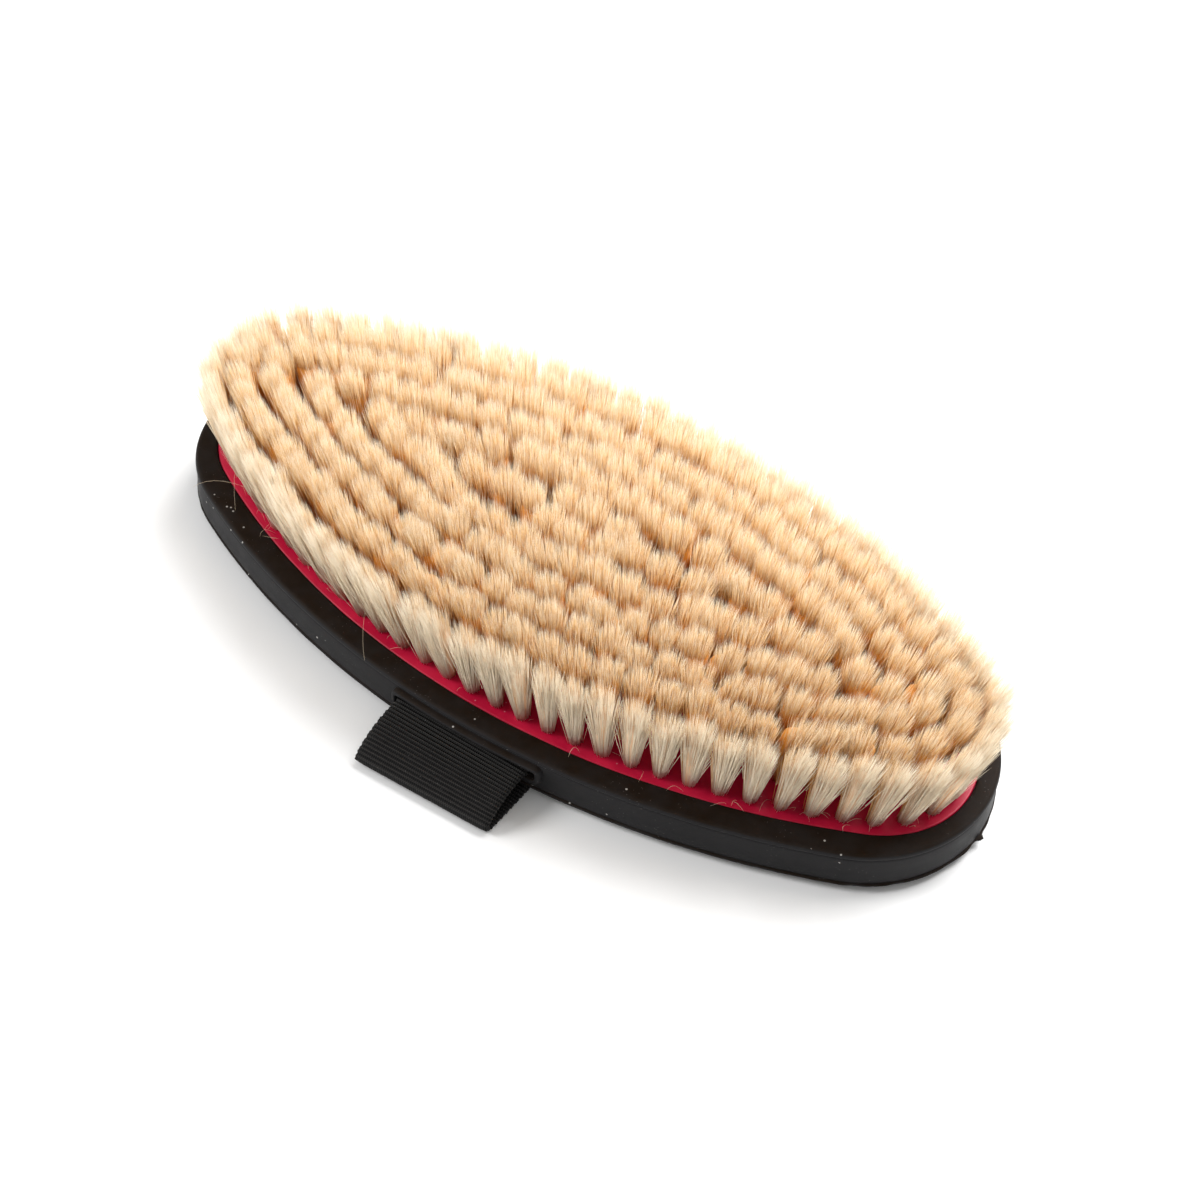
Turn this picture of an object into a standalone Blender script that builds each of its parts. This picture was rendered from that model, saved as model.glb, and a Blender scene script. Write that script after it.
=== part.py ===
"""Soft body brush for grooming horses, lying on its back with the bristles up.

A thick plastic plate carries the tufts in slanted blind seats. A black rubber body is stretched
over the plate's flange and holds it under a lip. A webbing hand strap is screwed to the underside
of the plate, leaves the body through a slot in each long side and runs across the back.

Metres, +Z up, length along X. The origin is on the surface that the brush lies on, under its middle.
"""

import math

import bmesh
import bpy
from mathutils import Matrix, Vector

# Clearance kept between pieces that touch in the real brush.
GAP = 0.0003

# Rubber body. Its outline is an oval of four arcs: two for the sides and two for the ends.
BODY_LENGTH = 0.2100
BODY_WIDTH = 0.0953
BODY_END_RADIUS = 0.0314
BODY_HEIGHT = 0.0101
FLOOR_THICK = 0.0016
WALL_THICK = 0.0028
LIP_THICK = 0.0018
LIP_REACH_AT_END = 0.0043
LIP_REACH_AT_SIDE = 0.00565
OPENING_END_RADIUS = 0.0229
BODY_EDGE_ROUND = 0.0013

# Hand strap and the slots that it leaves the body through.
WEBBING_WIDTH = 0.0350
WEBBING_THICK = 0.0014
STRAP_X = 0.0025
SLOT_SIDE_ROOM = 0.0010
SLOT_BELOW_RIM = 0.0045
COLLAR_PROUD = 0.0011
COLLAR_MARGIN = 0.0013
COLLAR_ROUND = 0.0004
FOLD_REACH = 0.0145
STRAP_SIDE_GAP = 0.0006
UNDER_LIFT = 0.00005
STRAP_TAIL = 0.0105

# Screws that hold the strap's tails to the plate.
SCREW_SHANK_RADIUS = 0.0011
SCREW_HEAD_RADIUS = 0.0022
SCREW_HEAD_THICK = 0.0008
SCREW_GRIP = 0.0034
SCREW_SPREAD = 0.0100
SCREW_SIDES = 12

# Tufts. The seats slant outwards, so that the bristles fan out from the middle. A fan is the
# slope that a seat gains with each metre from the middle, along the brush and across it.
RING_COUNT = 5
OUTER_ROW_INSET = 0.0037
CENTRE_ROW_HALF_WIDTH = 0.0035
TUFT_PITCH = 0.0066
TUFT_LENGTH = 0.0265
TUFT_MERGE = 0.0195
TUFT_SEAT_RADIUS = 0.0015
TUFT_TIP_SHRINK = 0.0002
TUFT_SIDES = 6
SEAT_RADIUS = 0.0021
SEAT_COVER = 0.0008
ROW_GAP = 0.0008
FAN_ALONG = 2.5
FAN_ACROSS = 5.0

# Heights that follow from the stack of pieces, from the surface upwards.
BACK_Z = WEBBING_THICK + GAP
RIM_Z = BACK_Z + BODY_HEIGHT
FLOOR_Z = BACK_Z + FLOOR_THICK
LIP_Z = RIM_Z - LIP_THICK
PLATE_LOW_Z = FLOOR_Z + GAP
FLANGE_Z = LIP_Z - GAP
PLATE_Z = RIM_Z - GAP
HEAD_LOW_Z = FLOOR_Z + GAP
HEAD_TOP_Z = HEAD_LOW_Z + SCREW_HEAD_THICK
TAIL_Z = HEAD_TOP_Z + GAP + WEBBING_THICK / 2
SCREW_TIP_Z = HEAD_TOP_Z + WEBBING_THICK + SCREW_GRIP
POCKET_Z = TAIL_Z + WEBBING_THICK / 2 + GAP
SEAT_DEPTH = PLATE_Z - POCKET_Z - SEAT_COVER
SLOT_Z = RIM_Z - SLOT_BELOW_RIM
UNDER_Z = WEBBING_THICK / 2 + UNDER_LIFT

# Spacing of the rings of tufts, across the brush.
OPENING_HALF_WIDTH = BODY_WIDTH / 2 - LIP_REACH_AT_SIDE
ROW_PITCH = (OPENING_HALF_WIDTH - OUTER_ROW_INSET - CENTRE_ROW_HALF_WIDTH) / RING_COUNT
ROW_HALF_WIDTH = (ROW_PITCH - ROW_GAP) / 2
TUFT_TIP_RADIUS = min(ROW_HALF_WIDTH, TUFT_PITCH / 2) - TUFT_TIP_SHRINK

# How finely the arcs are stepped.
SIDE_STEPS = 8
END_STEPS = 8
CUT_MARGIN = 0.0020


class Oval:
    """An oval of four arcs, or of two where an inner offset has used up the end arcs."""

    def __init__(self, half_length, half_width, end_radius):
        self.end_centre = half_length - end_radius
        reach = self.end_centre**2 + half_width**2 - end_radius**2
        self.side_radius = reach / (2 * (half_width - end_radius))
        self.side_centre = self.side_radius - half_width
        self.end_radius = end_radius

    def offset(self, inset):
        """The parallel oval this far inside, or outside for a negative inset."""
        other = Oval.__new__(Oval)
        other.end_centre, other.side_centre = self.end_centre, self.side_centre
        other.side_radius = self.side_radius - inset
        other.end_radius = self.end_radius - inset
        return other

    def join_angle(self):
        """The angle from +Y, at the side arc's centre, where the side arc ends."""
        if self.end_radius > 0:
            return math.atan2(self.end_centre, self.side_centre)
        return math.acos(self.side_centre / self.side_radius)

    def half_width_at(self, x):
        return math.sqrt(self.side_radius**2 - x**2) - self.side_centre

    def quadrant(self, side_steps, end_steps):
        """Points from +Y round to +X. Where the end arc is used up, its points fall on the tip."""
        join = self.join_angle()
        points = []
        for step in range(side_steps + 1):
            angle = join * step / side_steps
            x = self.side_radius * math.sin(angle)
            points.append((x, self.side_radius * math.cos(angle) - self.side_centre))
        radius = max(self.end_radius, 0.0)
        for step in range(1, end_steps + 1):
            angle = join + (math.pi / 2 - join) * step / end_steps
            if radius > 0:
                x = self.end_centre + radius * math.sin(angle)
                points.append((x, radius * math.cos(angle)))
            else:
                points.append((points[side_steps][0], 0.0))
        return points

    def outline(self, side_steps=SIDE_STEPS, end_steps=END_STEPS):
        """Points all the way round, anticlockwise from +X."""
        first = self.quadrant(side_steps, end_steps)[::-1]
        second = [(-x, y) for x, y in first[-2::-1]]
        upper = first + second
        lower = [(x, -y) for x, y in upper[-2:0:-1]]
        return upper + lower


BODY_OVAL = Oval(BODY_LENGTH / 2, BODY_WIDTH / 2, BODY_END_RADIUS)
CAVITY_OVAL = BODY_OVAL.offset(WALL_THICK)
OPENING_OVAL = Oval(BODY_LENGTH / 2 - LIP_REACH_AT_END, OPENING_HALF_WIDTH, OPENING_END_RADIUS)


def row_oval(row):
    """The line that a row's tufts stand on. Row 0 is the outer ring."""
    return OPENING_OVAL.offset(OUTER_ROW_INSET + row * ROW_PITCH)


# Scene and materials ------------------------------------------------------------------------


def clear_scene():
    for item in list(bpy.data.objects):
        bpy.data.objects.remove(item, do_unlink=True)


def collection(name):
    made = bpy.data.collections.new(name)
    bpy.context.scene.collection.children.link(made)
    return made


def material(name, colour, roughness, metallic=0.0):
    made = bpy.data.materials.new(name)
    made.use_nodes = True
    shader = made.node_tree.nodes["Principled BSDF"]
    shader.inputs["Base Color"].default_value = (*colour, 1.0)
    shader.inputs["Roughness"].default_value = roughness
    shader.inputs["Metallic"].default_value = metallic
    made.diffuse_color = (*colour, 1.0)
    return made


def add_part(name, mesh, finish):
    made = bpy.data.objects.new(name, mesh)
    mesh.materials.append(finish)
    PARTS.objects.link(made)
    made.parent = BRUSH
    return made


def add_cutter(name, mesh):
    made = bpy.data.objects.new(name, mesh)
    made.hide_render = True
    made.display_type = "WIRE"
    CUTTERS.objects.link(made)
    made.parent = BRUSH
    return made


def boolean(target, other, operation):
    step = target.modifiers.new(f"{operation.title()} {other.name}", "BOOLEAN")
    step.operation = operation
    step.object = other


def bevel(target, width, segments):
    step = target.modifiers.new("Rounded edges", "BEVEL")
    step.width = width
    step.segments = segments
    step.limit_method = "ANGLE"
    step.angle_limit = math.radians(40)
    step.use_clamp_overlap = True


# Basic shapes -------------------------------------------------------------------------------


def plate_mesh(name, points, low, high):
    """A flat outline extruded between two heights, made from a filled 2D curve."""
    curve = bpy.data.curves.new(name, "CURVE")
    curve.dimensions = "2D"
    curve.fill_mode = "BOTH"
    curve.extrude = (high - low) / 2
    spline = curve.splines.new("POLY")
    spline.points.add(len(points) - 1)
    for point, (x, y) in zip(spline.points, points):
        point.co = (x, y, 0.0, 1.0)
    spline.use_cyclic_u = True
    holder = bpy.data.objects.new(name, curve)
    bpy.context.scene.collection.objects.link(holder)
    graph = bpy.context.evaluated_depsgraph_get()
    mesh = bpy.data.meshes.new_from_object(holder.evaluated_get(graph))
    bpy.data.objects.remove(holder)
    shape = bmesh.new()
    shape.from_mesh(mesh)
    bmesh.ops.translate(shape, vec=(0, 0, (low + high) / 2), verts=shape.verts)
    bmesh.ops.remove_doubles(shape, verts=shape.verts, dist=1e-6)
    bmesh.ops.dissolve_limit(
        shape, angle_limit=math.radians(0.05), verts=shape.verts, edges=shape.edges
    )
    bmesh.ops.recalc_face_normals(shape, faces=shape.faces)
    return finish_mesh(shape, mesh)


def finish_mesh(shape, mesh):
    shape.to_mesh(mesh)
    shape.free()
    return mesh


def boxes_mesh(name, boxes):
    """Boxes given by their low and high corners."""
    shape = bmesh.new()
    for low, high in boxes:
        low, high = Vector(low), Vector(high)
        size = Matrix.Diagonal((*(high - low), 1.0))
        bmesh.ops.create_cube(shape, size=1.0, matrix=Matrix.Translation((low + high) / 2) @ size)
    return finish_mesh(shape, bpy.data.meshes.new(name))


def both_sides(low, high):
    """A box beyond +Y and its twin beyond -Y."""
    return [(low, high), ((low[0], -high[1], low[2]), (high[0], -low[1], high[2]))]


def cones_mesh(name, cones, sides):
    """Cones or prisms, each from a start point and radius to an end point and radius."""
    shape = bmesh.new()
    for start, start_radius, end, end_radius in cones:
        along = end - start
        turn = along.to_track_quat("Z", "Y").to_matrix().to_4x4()
        bmesh.ops.create_cone(
            shape,
            cap_ends=True,
            segments=sides,
            radius1=start_radius,
            radius2=end_radius,
            depth=along.length,
            matrix=Matrix.Translation((start + end) / 2) @ turn,
        )
    return finish_mesh(shape, bpy.data.meshes.new(name))


def strip_mesh(name, path, x_low, x_high):
    """An open strip of webbing, straight along X, that follows a path of (y, z) points."""
    shape = bmesh.new()
    left = [shape.verts.new((x_low, y, z)) for y, z in path]
    right = [shape.verts.new((x_high, y, z)) for y, z in path]
    for i in range(len(path) - 1):
        shape.faces.new((left[i], right[i], right[i + 1], left[i + 1]))
    return finish_mesh(shape, bpy.data.meshes.new(name))


def thicken(target, thickness):
    step = target.modifiers.new("Webbing thickness", "SOLIDIFY")
    step.thickness = thickness
    step.offset = 0.0
    step.use_even_offset = True


# Tufts --------------------------------------------------------------------------------------


def fan(x, y, distance):
    """The point this far along the bristle that stands at (x, y) on the plate."""
    along = Vector((FAN_ALONG * x, FAN_ACROSS * y, 1.0)).normalized()
    return Vector((x, y, PLATE_Z)) + along * distance


def onto_axis(x, y):
    """A tuft whose twin across the length axis would touch it stands on that axis instead."""
    return (x, y) if abs(y) > TUFT_TIP_RADIUS + TUFT_TIP_SHRINK / 2 else (x, 0.0)


def spaced_along(points, spacing):
    """Points at an even spacing, as near to this one as fits, round a closed outline."""
    ends = [Vector(p) for p in points + points[:1]]
    lengths = [(b - a).length for a, b in zip(ends, ends[1:])]
    total = sum(lengths)
    count = round(total / spacing)
    places, walked, at = [], 0.0, 0
    for i in range(count):
        target = total * i / count
        while walked + lengths[at] < target:
            walked += lengths[at]
            at += 1
        places.append(ends[at].lerp(ends[at + 1], (target - walked) / lengths[at]))
    return places


def ring_places(row):
    outline = row_oval(row).outline(side_steps=40, end_steps=12)
    outline = [p for p, q in zip(outline, outline[1:] + outline[:1]) if math.dist(p, q) > 1e-7]
    places = []
    for place in spaced_along(outline, TUFT_PITCH):
        place = onto_axis(place.x, place.y)
        if all(math.dist(place, other) > 2 * TUFT_TIP_RADIUS for other in places):
            places.append(place)
    return places


def centre_places():
    """The middle row: pairs while there is room for two side by side, then single tufts."""
    line = row_oval(RING_COUNT)
    room = row_oval(RING_COUNT).offset(-ROW_HALF_WIDTH)
    places, step = [], 0
    while room.half_width_at(step * TUFT_PITCH) > TUFT_TIP_RADIUS + TUFT_TIP_SHRINK:
        x = step * TUFT_PITCH
        y = max(line.half_width_at(x), 0.0)
        for at in {onto_axis(x, y), onto_axis(x, -y), onto_axis(-x, y), onto_axis(-x, -y)}:
            places.append(at)
        step += 1
    return sorted(places)


def tuft_cones(places):
    seat_end = GAP - SEAT_DEPTH
    middle = (TUFT_MERGE + TUFT_LENGTH) / 2
    return [
        (fan(x, y, seat_end), TUFT_SEAT_RADIUS, fan(x, y, middle), TUFT_TIP_RADIUS)
        for x, y in places
    ]


def loft_ring(name, outer, inner):
    """The closed band where a ring's tufts have spread into one another, from TUFT_MERGE up."""
    shape = bmesh.new()
    loops = [
        [shape.verts.new(fan(x, y, height)) for x, y in outline]
        for outline, height in (
            (outer, TUFT_MERGE),
            (outer, TUFT_LENGTH),
            (inner, TUFT_LENGTH),
            (inner, TUFT_MERGE),
        )
    ]
    for a, b in zip(loops, loops[1:] + loops[:1]):
        for i in range(len(a)):
            j = (i + 1) % len(a)
            shape.faces.new((a[i], a[j], b[j], b[i]))
    bmesh.ops.remove_doubles(shape, verts=shape.verts, dist=1e-6)
    bmesh.ops.recalc_face_normals(shape, faces=shape.faces)
    return finish_mesh(shape, bpy.data.meshes.new(name))


def loft_block(name, outline):
    """The same band for the middle row, which is solid."""
    shape = bmesh.new()
    low, high = (
        [shape.verts.new(fan(x, y, height)) for x, y in outline]
        for height in (TUFT_MERGE, TUFT_LENGTH)
    )
    shape.faces.new(low[::-1])
    shape.faces.new(high)
    for i in range(len(low)):
        j = (i + 1) % len(low)
        shape.faces.new((low[i], low[j], high[j], high[i]))
    bmesh.ops.triangulate(shape, faces=[f for f in shape.faces if len(f.verts) > 4])
    bmesh.ops.recalc_face_normals(shape, faces=shape.faces)
    return finish_mesh(shape, bpy.data.meshes.new(name))


def make_tuft_ring(row):
    name = f"tuft_ring_{row + 1}"
    line = row_oval(row)
    steps = {"side_steps": 7, "end_steps": 5}
    outer = line.offset(-ROW_HALF_WIDTH).outline(**steps)
    inner = line.offset(ROW_HALF_WIDTH).outline(**steps)
    ring = add_part(name, loft_ring(name, outer, inner), BRISTLE)
    places = ring_places(row)
    cones = cones_mesh(f"{name}_tufts", tuft_cones(places), TUFT_SIDES)
    boolean(ring, add_cutter(f"{name}_tufts", cones), "UNION")
    return places


def make_centre_row():
    places = centre_places()
    reach = max(x for x, _ in places) + ROW_HALF_WIDTH
    outline = row_oval(RING_COUNT).offset(-ROW_HALF_WIDTH).outline(side_steps=12, end_steps=1)
    clipped = [(x, y) for x, y in outline if abs(x) < reach]
    row = add_part("tuft_row_centre", loft_block("tuft_row_centre", clipped), BRISTLE)
    cones = cones_mesh("tuft_row_centre_tufts", tuft_cones(places), TUFT_SIDES)
    boolean(row, add_cutter("tuft_row_centre_tufts", cones), "UNION")
    return places


# Plate and rubber body ----------------------------------------------------------------------


SCREW_LINE = OPENING_OVAL.offset(OUTER_ROW_INSET + ROW_PITCH / 2)
SIDES = (("near", -1), ("far", 1))


def screw_places(y_sign):
    """Two screws on one side, in the land between the outer two rings of tufts."""
    for end, x_sign in (("left", -1), ("right", 1)):
        x = STRAP_X + x_sign * SCREW_SPREAD
        yield end, x, y_sign * SCREW_LINE.half_width_at(x)


def screw_holes(y_sign, low, high):
    """Cutters for the screws of one side, with running room round the shank."""
    radius = SCREW_SHANK_RADIUS + GAP
    return [
        (Vector((x, y, low)), radius, Vector((x, y, high)), radius)
        for _, x, y in screw_places(y_sign)
    ]


def make_plate(places):
    flange = CAVITY_OVAL.offset(GAP).outline()
    boss = OPENING_OVAL.offset(GAP).outline()
    plate = add_part("tuft_plate", plate_mesh("tuft_plate", flange, PLATE_LOW_Z, FLANGE_Z), PINK)
    overlap = (FLANGE_Z - PLATE_LOW_Z) / 2
    boss_mesh = plate_mesh("plate_boss", boss, FLANGE_Z - overlap, PLATE_Z)
    boolean(plate, add_cutter("plate_boss", boss_mesh), "UNION")
    boolean(plate, add_cutter("plate_pockets", pocket_mesh()), "DIFFERENCE")
    boolean(plate, add_cutter("plate_notches", notch_mesh()), "DIFFERENCE")
    boolean(plate, add_cutter("screw_pilots", pilots_mesh()), "DIFFERENCE")
    seats = [
        (fan(x, y, -SEAT_DEPTH), SEAT_RADIUS, fan(x, y, CUT_MARGIN), SEAT_RADIUS) for x, y in places
    ]
    seat_mesh = cones_mesh("tuft_seats", seats, TUFT_SIDES)
    boolean(plate, add_cutter("tuft_seats", seat_mesh), "DIFFERENCE")


def strap_sides(margin):
    return STRAP_X - WEBBING_WIDTH / 2 - margin, STRAP_X + WEBBING_WIDTH / 2 + margin


def tail_end_y():
    """Where the strap's tail ends, under the plate."""
    return SCREW_LINE.half_width_at(STRAP_X) - STRAP_TAIL / 2


def pocket_mesh():
    x_low, x_high = strap_sides(STRAP_SIDE_GAP)
    low = (x_low, tail_end_y() - GAP, PLATE_LOW_Z - CUT_MARGIN)
    return boxes_mesh("plate_pockets", both_sides(low, (x_high, BODY_WIDTH / 2, POCKET_Z)))


def notch_y():
    """The strap may only rise outside this line, clear of the outer row's seats."""
    return row_oval(0).half_width_at(0.0) + SEAT_RADIUS + GAP / 2


def notch_mesh():
    x_low, x_high = strap_sides(STRAP_SIDE_GAP)
    top = SLOT_Z + WEBBING_THICK / 2 + GAP + GAP / 2
    low = (x_low, notch_y(), PLATE_LOW_Z - CUT_MARGIN - GAP)
    return boxes_mesh("plate_notches", both_sides(low, (x_high, BODY_WIDTH / 2 + GAP, top)))


def pilots_mesh():
    low, high = PLATE_LOW_Z - CUT_MARGIN, SCREW_TIP_Z + GAP
    pilots = [hole for _, y_sign in SIDES for hole in screw_holes(y_sign, low, high)]
    return cones_mesh("screw_pilots", pilots, SCREW_SIDES)


def make_body():
    block = plate_mesh("rubber_body", BODY_OVAL.outline(), BACK_Z, RIM_Z)
    body = add_part("rubber_body", block, RUBBER)
    bevel(body, BODY_EDGE_ROUND, 3)
    boolean(body, make_collar(), "UNION")
    cavity = plate_mesh("body_cavity", CAVITY_OVAL.outline(), FLOOR_Z, LIP_Z)
    boolean(body, add_cutter("body_cavity", cavity), "DIFFERENCE")
    low, high = LIP_Z - CUT_MARGIN, RIM_Z + CUT_MARGIN
    opening = plate_mesh("body_opening", OPENING_OVAL.outline(), low, high)
    boolean(body, add_cutter("body_opening", opening), "DIFFERENCE")
    boolean(body, add_cutter("strap_slots", slots_mesh()), "DIFFERENCE")


def collar_sides(margin):
    return strap_sides(SLOT_SIDE_ROOM + margin)


def make_collar():
    """The raised rim round each strap slot: a slice of the body, a little proud of its sides."""
    half = WEBBING_THICK / 2 + GAP + COLLAR_MARGIN
    outline = BODY_OVAL.offset(-COLLAR_PROUD).outline()
    slice_mesh = plate_mesh("slot_collars", outline, SLOT_Z - half, SLOT_Z + half)
    collar = add_cutter("slot_collars", slice_mesh)
    x_low, x_high = collar_sides(COLLAR_MARGIN)
    box = boxes_mesh("collar_ends", [((x_low, -BODY_WIDTH, 0.0), (x_high, BODY_WIDTH, RIM_Z))])
    boolean(collar, add_cutter("collar_ends", box), "INTERSECT")
    bevel(collar, COLLAR_ROUND, 2)
    return collar


def slots_mesh():
    half = WEBBING_THICK / 2 + GAP
    x_low, x_high = collar_sides(0.0)
    low, high = (x_low, -BODY_WIDTH, SLOT_Z - half), (x_high, BODY_WIDTH, SLOT_Z + half)
    return boxes_mesh("strap_slots", [(low, high)])


# Hand strap ---------------------------------------------------------------------------------


def tail_path():
    """From under the plate, up past the outer seats and out through the slot."""
    rise_start = notch_y() + GAP
    rise_end = CAVITY_OVAL.half_width_at(max(map(abs, strap_sides(0.0)))) - GAP
    path = [(tail_end_y(), TAIL_Z)]
    for step in range(7):
        along = step / 6
        rise = (1 - math.cos(math.pi * along)) / 2
        y = rise_start + (rise_end - rise_start) * along
        path.append((y, TAIL_Z + (SLOT_Z - TAIL_Z) * rise))
    path.append((BODY_WIDTH / 2 + GAP, SLOT_Z))
    return path


def fold_path():
    """From the slot out and down, then round a tight fold and back under the brush."""
    start = BODY_WIDTH / 2 + GAP + GAP
    reach = FOLD_REACH - WEBBING_THICK / 2
    drop = SLOT_Z - UNDER_Z
    shape = (
        (0.00, 1.00),
        (0.24, 0.98),
        (0.48, 0.88),
        (0.72, 0.69),
        (0.91, 0.43),
        (1.00, 0.22),
        (0.97, 0.08),
        (0.86, 0.01),
        (0.72, 0.00),
        (0.50, 0.00),
    )
    return [(start + reach * out, UNDER_Z + drop * up) for out, up in shape]


def make_webbing(name, path, y_sign):
    if y_sign < 0:
        path = [(-y, z) for y, z in path]
    piece = add_part(name, strip_mesh(name, path, *strap_sides(0.0)), WEBBING)
    thicken(piece, WEBBING_THICK)
    return piece


def make_strap():
    for side, y_sign in SIDES:
        tail = make_webbing(f"strap_tail_{side}", tail_path(), y_sign)
        name = f"strap_tail_{side}_holes"
        holes = cones_mesh(name, screw_holes(y_sign, BACK_Z, RIM_Z), SCREW_SIDES)
        boolean(tail, add_cutter(name, holes), "DIFFERENCE")
        make_webbing(f"strap_fold_{side}", fold_path(), y_sign)
    half = fold_path()[-1][0] - GAP
    x_low, x_high = strap_sides(0.0)
    span = boxes_mesh("strap_span", [((x_low, -half, 0.0), (x_high, half, WEBBING_THICK))])
    add_part("strap_span", span, WEBBING)


def make_screw(name, x, y):
    """A flat-headed screw, head down, turned about its own axis."""
    top = SCREW_TIP_Z - HEAD_LOW_Z
    edge = SCREW_HEAD_THICK / 3
    profile = (
        (0.0, top),
        (SCREW_SHANK_RADIUS, top - SCREW_SHANK_RADIUS),
        (SCREW_SHANK_RADIUS, SCREW_HEAD_THICK),
        (SCREW_HEAD_RADIUS, SCREW_HEAD_THICK),
        (SCREW_HEAD_RADIUS, edge),
        (SCREW_HEAD_RADIUS - edge, 0.0),
        (0.0, 0.0),
    )
    shape = bmesh.new()
    verts = [shape.verts.new((radius, 0.0, z)) for radius, z in profile]
    for a, b in zip(verts, verts[1:]):
        shape.edges.new((a, b))
    screw = add_part(name, finish_mesh(shape, bpy.data.meshes.new(name)), STEEL)
    screw.location = (x, y, HEAD_LOW_Z)
    turn = screw.modifiers.new("Turned", "SCREW")
    turn.steps = turn.render_steps = SCREW_SIDES
    turn.use_merge_vertices = True
    turn.merge_threshold = 1e-6
    turn.use_normal_calculate = True


clear_scene()
PARTS = collection("body_brush")
CUTTERS = collection("cutters")
BRUSH = bpy.data.objects.new("brush_origin", None)
PARTS.objects.link(BRUSH)
RUBBER = material("black_rubber", (0.020, 0.018, 0.017), 0.45)
PINK = material("raspberry_plastic", (0.60, 0.010, 0.075), 0.38)
BRISTLE = material("cream_bristle", (0.80, 0.58, 0.35), 0.70)
WEBBING = material("black_webbing", (0.012, 0.012, 0.013), 0.85)
STEEL = material("zinc_steel", (0.62, 0.62, 0.60), 0.35, 1.0)


def main():
    places = []
    for row in range(RING_COUNT):
        places += make_tuft_ring(row)
    places += make_centre_row()
    make_plate(places)
    make_body()
    make_strap()
    for side, y_sign in SIDES:
        for end, x, y in screw_places(y_sign):
            make_screw(f"strap_screw_{side}_{end}", x, y)


main()
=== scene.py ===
"""Looks of the soft body brush: rubber body, tuft plate, bristles, webbing hand strap and studio.

Laid out as a Blender add-on and run as a script. Metres, +Z up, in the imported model's frame.
"""

import math
from typing import NamedTuple

import bmesh
import bpy
import numpy as np
from bpy.props import FloatProperty, FloatVectorProperty, IntProperty, PointerProperty
from mathutils import Matrix, Vector


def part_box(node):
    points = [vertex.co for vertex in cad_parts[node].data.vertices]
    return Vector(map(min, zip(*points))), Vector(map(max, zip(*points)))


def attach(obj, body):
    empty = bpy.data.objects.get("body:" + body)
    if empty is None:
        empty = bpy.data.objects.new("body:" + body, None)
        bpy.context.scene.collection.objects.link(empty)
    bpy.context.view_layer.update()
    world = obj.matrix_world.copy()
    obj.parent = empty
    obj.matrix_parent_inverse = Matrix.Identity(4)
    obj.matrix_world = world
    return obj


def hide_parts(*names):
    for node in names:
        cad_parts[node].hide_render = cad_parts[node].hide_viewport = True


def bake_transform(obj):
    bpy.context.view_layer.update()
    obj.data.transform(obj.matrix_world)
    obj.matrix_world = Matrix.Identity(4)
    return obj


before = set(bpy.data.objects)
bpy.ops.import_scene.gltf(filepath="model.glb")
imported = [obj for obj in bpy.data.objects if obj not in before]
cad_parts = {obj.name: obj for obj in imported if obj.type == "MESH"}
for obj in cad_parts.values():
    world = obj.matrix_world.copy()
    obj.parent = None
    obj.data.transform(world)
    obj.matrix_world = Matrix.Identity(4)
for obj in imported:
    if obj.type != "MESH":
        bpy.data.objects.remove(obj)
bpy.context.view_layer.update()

bl_info = {
    "name": "Body Brush Looks",
    "version": (1, 0, 0),
    "blender": (4, 5, 0),
    "location": "View3D > Sidebar > Body Brush",
    "description": "Makes the visible pieces of a soft body brush and its studio",
    "category": "Object",
}

BODY = "brush"
MM = 0.001
SEED = 7

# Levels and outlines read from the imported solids.
RUBBER_LOW, RUBBER_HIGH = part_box("rubber_body")
PLATE_LOW, PLATE_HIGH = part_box("tuft_plate")
SPAN_LOW, SPAN_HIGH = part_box("strap_span")
BACK_Z = RUBBER_LOW.z
RIM_Z = RUBBER_HIGH.z
PLATE_Z = PLATE_HIGH.z
HALF_LENGTH = RUBBER_HIGH.x


# Settings --------------------------------------------------------------------


def Length(name, description, value):
    return FloatProperty(name=name, description=description, default=value, unit="LENGTH")


def Colour(name, description, value):
    return FloatVectorProperty(name=name, description=description, default=value, subtype="COLOR")


def Share(name, description, value):
    return FloatProperty(name=name, description=description, default=value, min=0.0, max=1.0)


def Number(name, description, value):
    return FloatProperty(name=name, description=description, default=value)


def Count(name, description, value):
    return IntProperty(name=name, description=description, default=value, min=1)


# Node maths ------------------------------------------------------------------


class Sock:
    """A shader socket that takes part in Python expressions."""

    def __init__(self, mat, socket):
        self.mat, self.socket = mat, socket

    def _maths(self, operation, *values):
        return self.mat.node("ShaderNodeMath", {"operation": operation}, values)

    def __add__(self, other):
        return self._maths("ADD", self, other)

    def __sub__(self, other):
        return self._maths("SUBTRACT", self, other)

    def __mul__(self, other):
        return self._maths("MULTIPLY", self, other)

    def __rsub__(self, other):
        return self._maths("SUBTRACT", other, self)

    __radd__ = __add__

    def __gt__(self, other):
        return self._maths("GREATER_THAN", self, other)

    def most(self, other):
        return self._maths("MAXIMUM", self, other)

    def sine(self):
        return self._maths("SINE", self)

    def cosine(self):
        return self._maths("COSINE", self)

    def fract(self):
        return self._maths("FRACT", self)

    def floor(self):
        return self._maths("FLOOR", self)

    def ramp(self, low, high, start=0.0, end=1.0):
        """Smoothly from start at low to end at high."""
        settings = {"interpolation_type": "SMOOTHSTEP"}
        values = {"Value": self, "From Min": low, "From Max": high, "To Min": start, "To Max": end}
        return self.mat.node("ShaderNodeMapRange", settings, values)


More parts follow.
